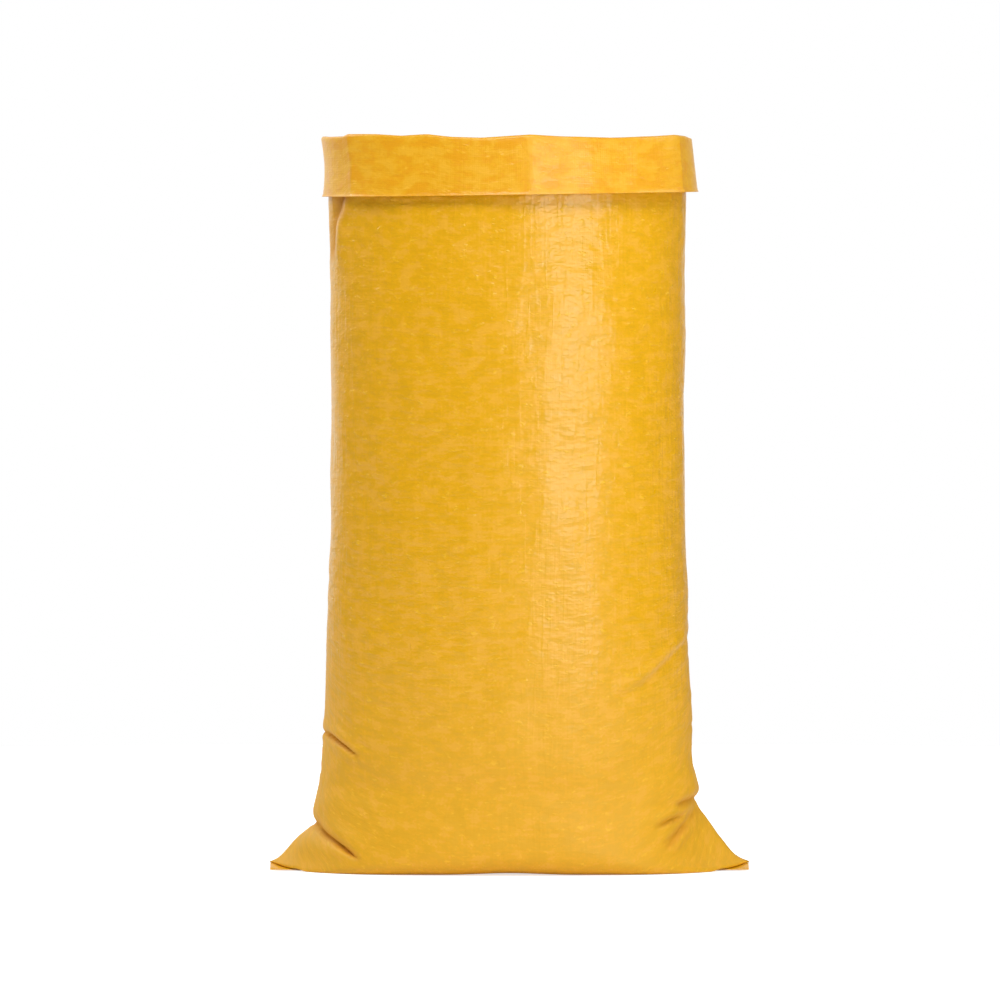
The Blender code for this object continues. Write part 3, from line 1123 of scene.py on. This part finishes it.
    def grain_places(self, rng: np.random.Generator, rim: np.ndarray, middle: np.ndarray) -> np.ndarray:
        """Places for the grains, in rows with random shifts.

        Args:
            rng: Where the shifts come from.
            rim: The outline of the goods.
            middle: The middle of the outline.

        Returns:
            One place for each grain.
        """
        low, high = rim.min(axis=0)[:2], rim.max(axis=0)[:2]
        columns = np.arange(low[0], high[0], self.spacing)
        lines = np.arange(low[1], high[1], self.spacing * self.row_spacing)
        x, y = np.meshgrid(columns, lines)
        x = x + (np.arange(len(lines)) % 2)[:, None] * self.spacing / 2
        x, y = x.ravel(), y.ravel()
        x = x + rng.uniform(*self.scatter, len(x)) * self.spacing
        y = y + rng.uniform(*self.scatter, len(y)) * self.spacing
        angle = np.arctan2(y - middle[1], x - middle[0])
        rim_angle = np.arctan2(rim[:, 1] - middle[1], rim[:, 0] - middle[0])
        rim_reach = np.linalg.norm(rim[:, :2] - middle[:2], axis=-1)
        order = np.argsort(rim_angle)
        reach = np.interp(angle, rim_angle[order], rim_reach[order], period=2 * math.pi)
        own = np.hypot(x - middle[0], y - middle[1])
        inside = own < reach - self.grain * self.edge_gap
        x, y, share = x[inside], y[inside], (own / reach)[inside]
        z = self.surface(x, y, share) + rng.uniform(*self.rise, len(x))
        return np.stack([x, y, z], axis=-1)


class Signal:
    """A number that a shader works out for each point of a surface."""

    def __init__(self, shader: "Shader", socket: bpy.types.NodeSocket) -> None:
        """Wraps a socket of one shader."""
        self.shader = shader
        self.socket = socket

    def _math(self, operation: str, *others: "Signal | float") -> "Signal":
        """Adds a Math node that takes this number first."""
        inputs = {0: self} | {i + 1: other for i, other in enumerate(others)}
        return self.shader.add("ShaderNodeMath", {"operation": operation}, inputs).signal()

    def __add__(self, other: "Signal | float") -> "Signal":
        """Adds."""
        return self._math("ADD", other)

    __radd__ = __add__

    def __mul__(self, other: "Signal | float") -> "Signal":
        """Multiplies."""
        return self._math("MULTIPLY", other)

    __rmul__ = __mul__

    def __sub__(self, other: "Signal | float") -> "Signal":
        """Subtracts."""
        return self._math("SUBTRACT", other)

    def __rsub__(self, other: float) -> "Signal":
        """Subtracts this number from a plain one."""
        return (self * -1.0) + other

    def __truediv__(self, other: "Signal | float") -> "Signal":
        """Divides."""
        return self._math("DIVIDE", other)

    def __pow__(self, other: float) -> "Signal":
        """Raises to a power."""
        return self._math("POWER", other)

    def floor(self) -> "Signal":
        """The whole number below."""
        return self._math("FLOOR")

    def fraction(self) -> "Signal":
        """What the number has over the whole one below."""
        return self._math("FRACT")

    def sine(self) -> "Signal":
        """The sine of an angle."""
        return self._math("SINE")

    def apart(self, other: "Signal | float") -> "Signal":
        """The distance to another number."""
        return (self - other)._math("ABSOLUTE")

    def step(self, low: float, high: float) -> "Signal":
        """A smooth rise from 0 at low to 1 at high.

        Args:
            low: Where the rise starts.
            high: Where the rise ends.

        Returns:
            The risen number.
        """
        settings = {"interpolation_type": "SMOOTHSTEP"}
        inputs = {"Value": self, "From Min": low, "From Max": high}
        return self.shader.add("ShaderNodeMapRange", settings, inputs).signal()


class Node:
    """A node of a shader, read by its outputs."""

    def __init__(self, shader: "Shader", node: bpy.types.Node) -> None:
        """Wraps a node."""
        self.shader = shader
        self.node = node

    def signal(self, output: int | str = 0) -> Signal:
        """One of the node's outputs as a number."""
        return Signal(self.shader, self.node.outputs[output])

    def socket(self, output: int | str = 0) -> bpy.types.NodeSocket:
        """One of the node's outputs as it is, for a colour or a vector."""
        return self.node.outputs[output]


class Shader:
    """A material whose nodes are added by one method."""

    def __init__(self, name: str) -> None:
        """Starts a material with a Principled shader.

        Args:
            name: The material's name.
        """
        self.material = bpy.data.materials.new(name)
        self.material.use_nodes = True
        self.tree = self.material.node_tree
        self.surface = self.tree.nodes["Principled BSDF"]

    def add(self, kind: str, settings: dict | None = None, inputs: dict | None = None) -> Node:
        """Adds a node.

        Args:
            kind: The node's type.
            settings: Its settings, which are set first.
            inputs: The values or links of its sockets.

        Returns:
            The node.
        """
        node = self.tree.nodes.new(kind)
        for name, value in (settings or {}).items():
            setattr(node, name, value)
        for key, value in (inputs or {}).items():
            self.feed(node.inputs[key], value)
        return Node(self, node)

    def feed(self, socket: bpy.types.NodeSocket, value: object) -> None:
        """Sets a socket's value, or links it.

        Args:
            socket: The socket.
            value: A number, a tuple, a signal or another socket.
        """
        if isinstance(value, Signal):
            self.tree.links.new(value.socket, socket)
        elif isinstance(value, bpy.types.NodeSocket):
            self.tree.links.new(value, socket)
        elif isinstance(value, tuple) and len(value) == 3 and socket.type == "RGBA":
            socket.default_value = (*value, 1.0)
        else:
            socket.default_value = value

    def blend(self, share: Signal | float, low: object, high: object) -> bpy.types.NodeSocket:
        """Mixes two colours, by the share of the second."""
        settings = {"data_type": "RGBA", "blend_type": "MIX"}
        return self.add("ShaderNodeMix", settings, {0: share, 6: low, 7: high}).socket(2)

    def number(self, name: str) -> Signal:
        """Reads a number that each point of the mesh has."""
        return self.add("ShaderNodeAttribute", {"attribute_name": name}).signal("Fac")

    def solid_place(self, scale: float) -> bpy.types.NodeSocket:
        """The place in the object's own space, scaled."""
        inputs = {0: self.add("ShaderNodeTexCoord").socket("Object"), 1: (scale, scale, scale)}
        return self.add("ShaderNodeVectorMath", {"operation": "MULTIPLY"}, inputs).socket()

    def clouds(self, place: bpy.types.NodeSocket, detail: float = 2.0, roughness: float = 0.5) -> Signal:
        """Soft noise from 0 to 1, about one cloud for each unit of the place."""
        inputs = {"Vector": place, "Scale": 1.0, "Detail": detail, "Roughness": roughness}
        return self.add("ShaderNodeTexNoise", {"noise_dimensions": "3D"}, inputs).signal(0)

    def chance(self, first: Signal, second: Signal | float) -> Signal:
        """A random number from 0 to 1 for each pair of whole numbers."""
        pair = self.add("ShaderNodeCombineXYZ", None, {0: first, 1: second})
        return self.add("ShaderNodeTexWhiteNoise", {"noise_dimensions": "2D"}, {0: pair.socket()}).signal(0)

    def bump(self, height: Signal, distance: float,
             under: bpy.types.NodeSocket | None = None) -> bpy.types.NodeSocket:
        """Turns a height into a normal.

        Args:
            height: The height, in units of distance.
            distance: What a height of 1 measures, in metres.
            under: A normal that this one is added to.

        Returns:
            The normal.
        """
        inputs: dict = {"Strength": 1.0, "Distance": distance, "Height": height}
        if under is not None:
            inputs["Normal"] = under
        return self.add("ShaderNodeBump", None, inputs).socket()

    def complete(self, inputs: dict[str, object]) -> bpy.types.Material:
        """Feeds the Principled shader.

        Args:
            inputs: The values or links of its sockets.

        Returns:
            The finished material.
        """
        for name, value in inputs.items():
            self.feed(self.surface.inputs[name], value)
        return self.material


class Cloth:
    """The flat fabric, as a shader reads it: across and along are in metres."""

    def __init__(self, shader: Shader) -> None:
        """Reads the place on the flat fabric.

        Args:
            shader: The finish that reads it.
        """
        flat = shader.add("ShaderNodeUVMap", {"uv_map": "weave"})
        parts = shader.add("ShaderNodeSeparateXYZ", None, {0: flat.socket()})
        self.shader = shader
        self.across, self.along = parts.signal(0), parts.signal(1)

    def clouds(self, size: Span, roughness: float = 0.5) -> Signal:
        """Soft noise from 0 to 1 on the flat fabric.

        Args:
            size: The size of its clouds, across and along the fabric.
            roughness: How strong its finer layers are.

        Returns:
            The noise.
        """
        inputs = {0: self.across / size[0], 1: self.along / size[1]}
        place = self.shader.add("ShaderNodeCombineXYZ", None, inputs)
        return self.shader.clouds(place.socket(), roughness=roughness)

    def lines(self, size: Span, sharpness: float) -> Signal:
        """Thin lines along the middle level of such clouds, where it is 1."""
        return (1.0 - self.clouds(size).apart(0.5) * sharpness).step(0.0, 1.0)


@dataclass(frozen=True)
class TapeWeave:
    """Flat tapes woven over and under each other, as a finish of one face of the fabric.

    Sizes are of clouds on the flat fabric, across and along it. Slopes are levels where something rises.
    """

    name: str
    colour: Colour
    deep: Colour
    pale: Colour
    # Painted highlight: the colour of small glints, painted into the base colour.
    painted_glint: Colour
    roughness: float
    sheen: float
    relief: float
    unevenness: float
    specular: float
    streaks: float
    # Painted shade: the dark orange colour that the folds' bottoms get, by the crease share.
    inside: Colour = (0.60, 0.22, 0.0)
    sheen_tint: Colour = (1.0, 0.80, 0.30)
    sheen_roughness: float = 0.5
    pitch: float = 0.0025
    edge_power: float = 6.0
    warp_seed: float = 3.0
    weft_seed: float = 7.0
    tape_tone: float = 0.08
    blotch_size: Span = (0.021, 0.014)
    blotch_detail: float = 0.60
    dash_size: Span = (0.015, 0.0040)
    # Painted shade: the colour is darker over the first stretch of fabric from the bottom seam, round the
    # foot.
    foot_shade_slope: Span = (0.05, 0.35)
    foot_painted_shade: float = 0.05
    deep_slope: Span = (0.41, 0.49)
    pale_slope: Span = (0.50, 0.58)
    drop_size: Span = (0.0105, 0.0058)
    drop_slope: Span = (0.60, 0.74)
    painted_glint_share: float = 0.46
    taut_slope: Span = (0.18, 0.42)
    taut_roughness: float = 0.24
    blotch_roughness: float = 0.25
    crease_roughness: float = 0.45
    dent_size: Span = (0.020, 0.0100)
    weft_size: Span = (0.050, 0.011)
    rib_size: Span = (0.014, 0.120)
    line_sharpness: float = 9.0
    drop_height: float = 0.18
    weft_height: float = 0.06
    rib_height: float = 0.09
    slack_slope: Span = (0.10, 0.34)
    slack_least: float = 0.45

    def tapes(self, cloth: Cloth) -> tuple[Signal, Signal]:
        """Weaves the tapes.

        Args:
            cloth: The flat fabric.

        Returns:
            The height of the tape that is on top, and its own tone.
        """
        warp, weft = cloth.across / self.pitch, cloth.along / self.pitch
        over = ((warp.floor() + weft.floor()) / 2.0).fraction() * 2.0
        heights, tones = [], []
        for tape, crossed, seed in ((warp, weft, self.warp_seed), (weft, warp, self.weft_seed)):
            edge = 1.0 - (tape.fraction().apart(0.5) * 2.0) ** self.edge_power
            heights.append(edge * (crossed.fraction() * math.pi).sine())
            tones.append(cloth.shader.chance(tape.floor(), seed))
        under = 1.0 - over
        return over * heights[0] + under * heights[1], over * tones[0] + under * tones[1]

    def tint(self, cloth: Cloth, tone: Signal, blotches: Signal, drops: Signal) -> bpy.types.NodeSocket:
        """Mixes the fabric's colours.

        Args:
            cloth: The flat fabric.
            tone: Each tape's own tone.
            blotches: The large clouds.
            drops: The small spots where glints are painted.

        Returns:
            The colour.
        """
        blend = cloth.shader.blend
        dashes = cloth.clouds(self.dash_size) * self.streaks
        shade = blotches * (1.0 - self.tape_tone - self.streaks) + dashes + tone * self.tape_tone
        # Painted shade: darker towards the bottom seam, round the foot.
        shade = shade - (1.0 - cloth.along.step(*self.foot_shade_slope)) * self.foot_painted_shade
        colour = blend(shade.step(*self.deep_slope), self.deep, self.colour)
        colour = blend(shade.step(*self.pale_slope), colour, self.pale)
        # Painted highlight: the small spots get the glint colour.
        return blend(drops * self.painted_glint_share, colour, self.painted_glint)

    def crinkles(self, cloth: Cloth, drops: Signal) -> Signal:
        """Adds up the fabric's small crinkles, which are lower where it is taut.

        Args:
            cloth: The flat fabric.
            drops: The small spots where glints are painted; here they rise a little.

        Returns:
            Their height.
        """
        height = cloth.clouds(self.dent_size) + drops * self.drop_height
        height = height + cloth.lines(self.weft_size, self.line_sharpness) * self.weft_height
        height = height + cloth.lines(self.rib_size, self.line_sharpness) * self.rib_height
        slack = cloth.along.step(*self.slack_slope) * (1.0 - self.slack_least) + self.slack_least
        return height * slack

    def material(self) -> bpy.types.Material:
        """Builds the finish.

        Returns:
            The material.
        """
        shader = Shader(self.name)
        cloth = Cloth(shader)
        relief, tone = self.tapes(cloth)
        blotches = cloth.clouds(self.blotch_size, self.blotch_detail)
        drops = cloth.clouds(self.drop_size).step(*self.drop_slope)
        # Painted shade: the crease share turns the colour to the dark orange inside colour in the folds'
        # bottoms, and makes them rougher.
        crease = shader.number("crease")
        taut = 1.0 - cloth.along.step(*self.taut_slope)
        roughness = self.roughness + (blotches - 0.5) * self.blotch_roughness
        roughness = roughness + crease * self.crease_roughness + taut * self.taut_roughness
        normal = shader.bump(self.crinkles(cloth, drops), self.unevenness)
        return shader.complete({
            "Base Color": shader.blend(crease, self.tint(cloth, tone, blotches, drops), self.inside),
            "Roughness": roughness,
            "Normal": shader.bump(relief, self.relief, normal),
            "Sheen Weight": self.sheen,
            "Sheen Roughness": self.sheen_roughness,
            "Sheen Tint": self.sheen_tint,
            "Specular IOR Level": self.specular,
        })


@dataclass(frozen=True)
class SewingThread:
    """Twisted white sewing yarn."""

    colour: Colour = (0.78, 0.76, 0.70)
    shade: Colour = (0.60, 0.58, 0.52)
    roughness: float = 0.7
    ply: float = 0.0011
    slant: float = 1.6
    fuzz_scale: float = 900.0
    fuzz: float = 0.3
    relief: float = 0.00008

    def material(self) -> bpy.types.Material:
        """Builds the finish.

        Returns:
            The material.
        """
        shader = Shader("sewing_yarn")
        parts = shader.add("ShaderNodeSeparateXYZ", None, {0: shader.solid_place(1 / self.ply)})
        twist = parts.signal(0) + parts.signal(1) * self.slant + parts.signal(2) * self.slant
        ridge = (twist * (2 * math.pi)).sine() * 0.5 + 0.5
        share = ridge * (1.0 - self.fuzz) + shader.clouds(shader.solid_place(self.fuzz_scale)) * self.fuzz
        return shader.complete({
            "Base Color": shader.blend(share, self.shade, self.colour),
            "Normal": shader.bump(share, self.relief),
            "Roughness": self.roughness,
        })


@dataclass(frozen=True)
class MineralGrain:
    """Dry, dusty mineral grains, each with a tone of its own."""

    dark: Colour = (0.30, 0.24, 0.17)
    middle: Colour = (0.50, 0.42, 0.30)
    light: Colour = (0.68, 0.61, 0.49)
    dust_scale: float = 420.0
    dust_detail: float = 4.0
    pit_scale: float = 1500.0
    pit_height: float = 0.5
    noise_roughness: float = 0.6
    tone_share: float = 0.75
    dust_share: float = 0.35
    middle_slope: Span = (0.10, 0.55)
    light_slope: Span = (0.50, 1.00)
    roughness: float = 0.78
    dust_roughness: float = 0.2
    relief: float = 0.0004

    def material(self) -> bpy.types.Material:
        """Builds the finish.

        Returns:
            The material.
        """
        shader = Shader("mineral_grain")
        dust = shader.clouds(shader.solid_place(self.dust_scale), self.dust_detail, self.noise_roughness)
        pits = shader.clouds(shader.solid_place(self.pit_scale), roughness=self.noise_roughness)
        share = shader.number("grain_tone") * self.tone_share + dust * self.dust_share
        colour = shader.blend(share.step(*self.middle_slope), self.dark, self.middle)
        return shader.complete({
            "Base Color": shader.blend(share.step(*self.light_slope), colour, self.light),
            "Roughness": dust * self.dust_roughness + self.roughness,
            "Normal": shader.bump(dust + pits * self.pit_height, self.relief),
        })


@dataclass(frozen=True)
class Softbox:
    """A soft rectangular light that looks at a place."""

    name: str
    place: tuple[float, float, float]
    aim: tuple[float, float, float]
    size: tuple[float, float]
    power: float

    def hang(self) -> None:
        """Hangs the light."""
        light = bpy.data.lights.new(self.name, "AREA")
        light.shape = "RECTANGLE"
        light.size, light.size_y = self.size
        light.energy = self.power
        lamp = bpy.data.objects.new(self.name, light)
        place = Vector(self.place)
        lamp.location = place
        lamp.rotation_euler = (Vector(self.aim) - place).to_track_quat("-Z", "Y").to_euler()
        lamp.visible_camera = False
        bpy.context.scene.collection.objects.link(lamp)


@dataclass(frozen=True)
class Studio:
    """The plain white studio: floor, lights and camera."""

    camera_distance: float = 15.0
    camera_height: float = 0.84
    view_width: float = 1.117
    aim: tuple[float, float, float] = (-0.0106, 0.0, 0.4138)
    sensor_width: float = 36.0
    sight: float = 100.0
    floor_radius: float = 3.0
    floor_sides: int = 96
    floor_colour: Colour = (0.90, 0.90, 0.90)
    floor_roughness: float = 0.9
    floor_shine: float = 0.66
    floor_glow: float = 0.08
    room: float = 0.140
    softboxes: tuple[Softbox, ...] = (
        Softbox("key_right", (1.14, -1.86, 0.72), (0.0, 0.0, 0.72), (0.95, 0.95), 15.8),
        Softbox("overhead", (0.0, -1.75, 2.6), (0.0, 0.0, 0.45), (2.2, 0.9), 40.0),
        Softbox("side_left", (-2.0, 0.5, 2.1), (0.0, 0.0, 0.4), (1.2, 1.4), 29.0),
        Softbox("side_right", (1.9, 0.1, 2.1), (0.0, 0.0, 0.4), (1.2, 1.4), 12.5),
        Softbox("backdrop", (-1.0, 3.4, 1.6), (-0.5, 0.0, 1.2), (6.0, 3.0), 55.0),
    )

    def floor(self) -> None:
        """Lays the pale floor, a table that glows softly from below."""
        bpy.ops.mesh.primitive_circle_add(
            vertices=self.floor_sides, radius=self.floor_radius, fill_type="NGON")
        floor = bpy.context.active_object
        floor.name = "studio_floor"
        shader = Shader("floor_white")
        seen = shader.add("ShaderNodeLightPath").signal("Is Camera Ray")
        floor.data.materials.append(shader.complete({
            "Base Color": self.floor_colour,
            "Roughness": self.floor_roughness,
            "Emission Color": WHITE,
            "Emission Strength": seen * (self.floor_shine - self.floor_glow) + self.floor_glow,
        }))

    def light(self) -> None:
        """Lights a white background, a dimmer room in front of it, and the softboxes."""
        world = bpy.data.worlds.new("studio_white")
        world.use_nodes = True
        nodes, links = world.node_tree.nodes, world.node_tree.links
        room = nodes["Background"]
        room.inputs["Color"].default_value = WHITE
        room.inputs["Strength"].default_value = self.room
        white = nodes.new("ShaderNodeBackground")
        white.inputs["Color"].default_value = WHITE
        path = nodes.new("ShaderNodeLightPath")
        mix = nodes.new("ShaderNodeMixShader")
        links.new(path.outputs["Is Camera Ray"], mix.inputs[0])
        links.new(room.outputs[0], mix.inputs[1])
        links.new(white.outputs[0], mix.inputs[2])
        links.new(mix.outputs[0], nodes["World Output"].inputs["Surface"])
        bpy.context.scene.world = world
        for softbox in self.softboxes:
            softbox.hang()

    def camera(self) -> None:
        """Stands the camera at the photograph's angle."""
        lens = bpy.data.cameras.new("camera")
        lens.sensor_width = self.sensor_width
        lens.lens = self.sensor_width * self.camera_distance / self.view_width
        lens.clip_end = self.sight
        camera = bpy.data.objects.new("camera", lens)
        aim = Vector(self.aim)
        camera.location = (aim.x, -self.camera_distance, self.camera_height)
        camera.rotation_euler = (aim - camera.location).to_track_quat("-Z", "Y").to_euler()
        bpy.context.scene.collection.objects.link(camera)
        bpy.context.scene.camera = camera
        bpy.context.scene.view_settings.view_transform = "Standard"


# Each fold has its line, depth, width, over, lip and reach, and then start, side and facing
# where they differ from the usual ones. The last five are on the back.
# A fold deeper than 3 mm also gets painted shade in its bottom.
FOLDS = (
    Fold(((-0.212, 0.1570), (-0.200, 0.1512), (-0.186, 0.1430), (-0.162, 0.1270)),
         0.0060, 0.0020, 0.0028, 0.0016, 0.010, 0.30),
    Fold(((-0.186, 0.1480), (-0.168, 0.1440), (-0.146, 0.1350)), 0.0016, 0.0040, 0.0006, 0.0006, 0.010),
    Fold(((-0.186, 0.1216), (-0.166, 0.1180), (-0.148, 0.1110)), 0.0014, 0.0045, 0.0005, 0.0008, 0.010),
    Fold(((-0.219, 0.0540), (-0.208, 0.0450), (-0.188, 0.0310), (-0.162, 0.0130)),
         0.0090, 0.0026, 0.0030, 0.0004, 0.014, 0.12),
    Fold(((-0.2120, 0.0490), (-0.2050, 0.0410), (-0.1970, 0.0355)), 0.0036, 0.0016, 0.0, 0.0012, 0.005),
    Fold(((0.209, 0.0810), (0.198, 0.0790), (0.182, 0.0745)), 0.0044, 0.0034, 0.0024, 0.0010, 0.010, 0.5),
    Fold(((0.199, 0.0650), (0.180, 0.0590), (0.158, 0.0505)), 0.0030, 0.0030, 0.0005, 0.0012, 0.009),
    Fold(((0.204, 0.0600), (0.188, 0.0440), (0.170, 0.0230)), 0.0042, 0.0044, 0.0012, 0.0032, 0.011),
    Fold(((0.207, 0.2690), (0.174, 0.2350), (0.151, 0.2140), (0.104, 0.1860)),
         0.0020, 0.0040, 0.0026, 0.0, 0.009, 0.25),
    Fold(((0.194, 0.0625), (0.178, 0.0600), (0.158, 0.0510)), 0.0034, 0.0024, 0.0036, 0.0, 0.008, 0.2),
    Fold(((0.182, 0.0430), (0.172, 0.0350), (0.158, 0.0300)), 0.0020, 0.0022, 0.0016, 0.0010, 0.005, 0.2),
    Fold(((-0.1890, 0.7620), (-0.1950, 0.7300), (-0.1985, 0.6700)),
         0.0050, 0.0042, 0.0, 0.0020, 0.018, 1.0, facing=(-0.014, 0.026)),
    Fold(((-0.1830, 0.7700), (-0.1880, 0.7480), (-0.1930, 0.7180)),
         0.0044, 0.0080, 0.0, 0.0, 0.012, 1.0, facing=(-0.014, 0.026)),
    Fold(((0.214, 0.0700), (0.197, 0.0560), (0.176, 0.0300), (0.160, 0.0140)),
         0.0100, 0.0030, 0.0036, 0.0018, 0.014, 0.12, 1),
    Fold(((0.206, 0.1680), (0.192, 0.1560), (0.174, 0.1500)), 0.0034, 0.0030, 0.0016, 0.0010, 0.010, 0.0, 1),
    Fold(((-0.222, 0.0560), (-0.204, 0.0500), (-0.178, 0.0330)),
         0.0060, 0.0036, 0.0024, 0.0014, 0.012, 0.2, 1),
    Fold(((-0.212, 0.1120), (-0.190, 0.1010), (-0.160, 0.0980)),
         0.0024, 0.0040, 0.0010, 0.0010, 0.010, 0.3, 1),
    Fold(((-0.204, 0.3300), (-0.160, 0.2900), (-0.110, 0.2480)), 0.0016, 0.0060, 0.0012, 0.0, 0.012, 0.4, 1),
)
WALL_RIDGES = (
    Ridge(((-0.172, 0.800, 0.0060), (-0.178, 0.748, 0.0060), (-0.186, 0.710, 0.0045), (-0.195, 0.675, 0.0022),
           (-0.200, 0.640, 0.0)), 0.014, 0.050),
    Ridge(((0.188, 0.800, 0.0035), (0.190, 0.750, 0.0035), (0.191, 0.690, 0.0)), 0.050, 0.012),
)
CUFF_RIDGES = (
    Ridge(((-0.1750, 0.822, 0.0080), (-0.1700, 0.790, 0.0085), (-0.1700, 0.750, 0.0090)), 0.018, 0.060),
    Ridge(((0.1850, 0.822, 0.0045), (0.1890, 0.750, 0.0055)), 0.050, 0.012),
    Ridge(((0.0240, 0.822, 0.0032), (0.0240, 0.750, 0.0032)), 0.045, 0.022),
    Ridge(((0.0890, 0.822, 0.0018), (0.0900, 0.750, 0.0022)), 0.020, 0.020),
    Ridge(((0.1410, 0.822, 0.0014), (0.1410, 0.750, 0.0016)), 0.012, 0.005),
    Ridge(((0.1620, 0.822, 0.0040), (0.1650, 0.750, 0.0050)), 0.060, 0.030, 1),
    Ridge(((-0.1780, 0.822, 0.0030), (-0.1760, 0.750, 0.0040)), 0.030, 0.060, 1),
)


# Each face's glint colour is a painted highlight.
COATED_FACE = TapeWeave(
    "coated_face", colour=(0.83, 0.418, 0.000), deep=(0.79, 0.405, 0.000), pale=(0.865, 0.436, 0.017),
    painted_glint=(0.98, 0.58, 0.020), roughness=0.335, sheen=0.0, relief=0.00003, unevenness=0.00160,
    specular=0.57, streaks=0.22)
BARE_FACE = TapeWeave(
    "bare_face", colour=(0.882, 0.423, 0.002), deep=(0.868, 0.383, 0.001), pale=(0.907, 0.458, 0.010),
    painted_glint=(0.98, 0.54, 0.020), roughness=0.36, sheen=0.12, relief=0.00006, unevenness=0.00090,
    specular=0.66, streaks=0.05)
SOFTENING_ROUNDS = 3


def dress(piece: bpy.types.Object, finishes: list[bpy.types.Material]) -> None:
    """Gives a piece its finishes, and reports it.

    Args:
        piece: The piece.
        finishes: Its finishes, in the order of its slots.
    """
    for finish in finishes:
        piece.data.materials.append(finish)
    LOG.info("%s: %d faces", piece.name, len(piece.data.polygons))


def main() -> None:
    """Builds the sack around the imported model, and the studio round it."""
    logging.basicConfig(level=logging.INFO, format="%(name)s: %(message)s")
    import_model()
    low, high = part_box("woven_sack")
    form = SackForm(seam_half=(high.x - low.x) / 2, height=high.z)
    tube = WovenTube(form, folds=FOLDS, wall_ridges=WALL_RIDGES, cuff_ridges=CUFF_RIDGES)
    tube.draw()
    tube.soften(SOFTENING_ROUNDS)
    tube.shape_mouth()
    tube.fold()
    tube.ripple()
    fabric = tube.build()
    faces = [COATED_FACE.material(), BARE_FACE.material()]
    dress(fabric, faces)
    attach(fabric, ROOT_BODY)
    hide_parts("woven_sack")

    hem = BottomHem(form).build()
    dress(hem, faces)
    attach(hem, ROOT_BODY)

    stitches = ChainStitch(form).build()
    dress(stitches, [SewingThread().material()])
    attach(stitches, ROOT_BODY)
    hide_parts("seam_thread")

    goods = DryFill(form, FOLDS).build()
    dress(goods, [MineralGrain().material()])
    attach(goods, ROOT_BODY)
    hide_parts("filling")

    studio = Studio()
    studio.floor()
    studio.light()
    studio.camera()


if __name__ == "__main__":
    main()
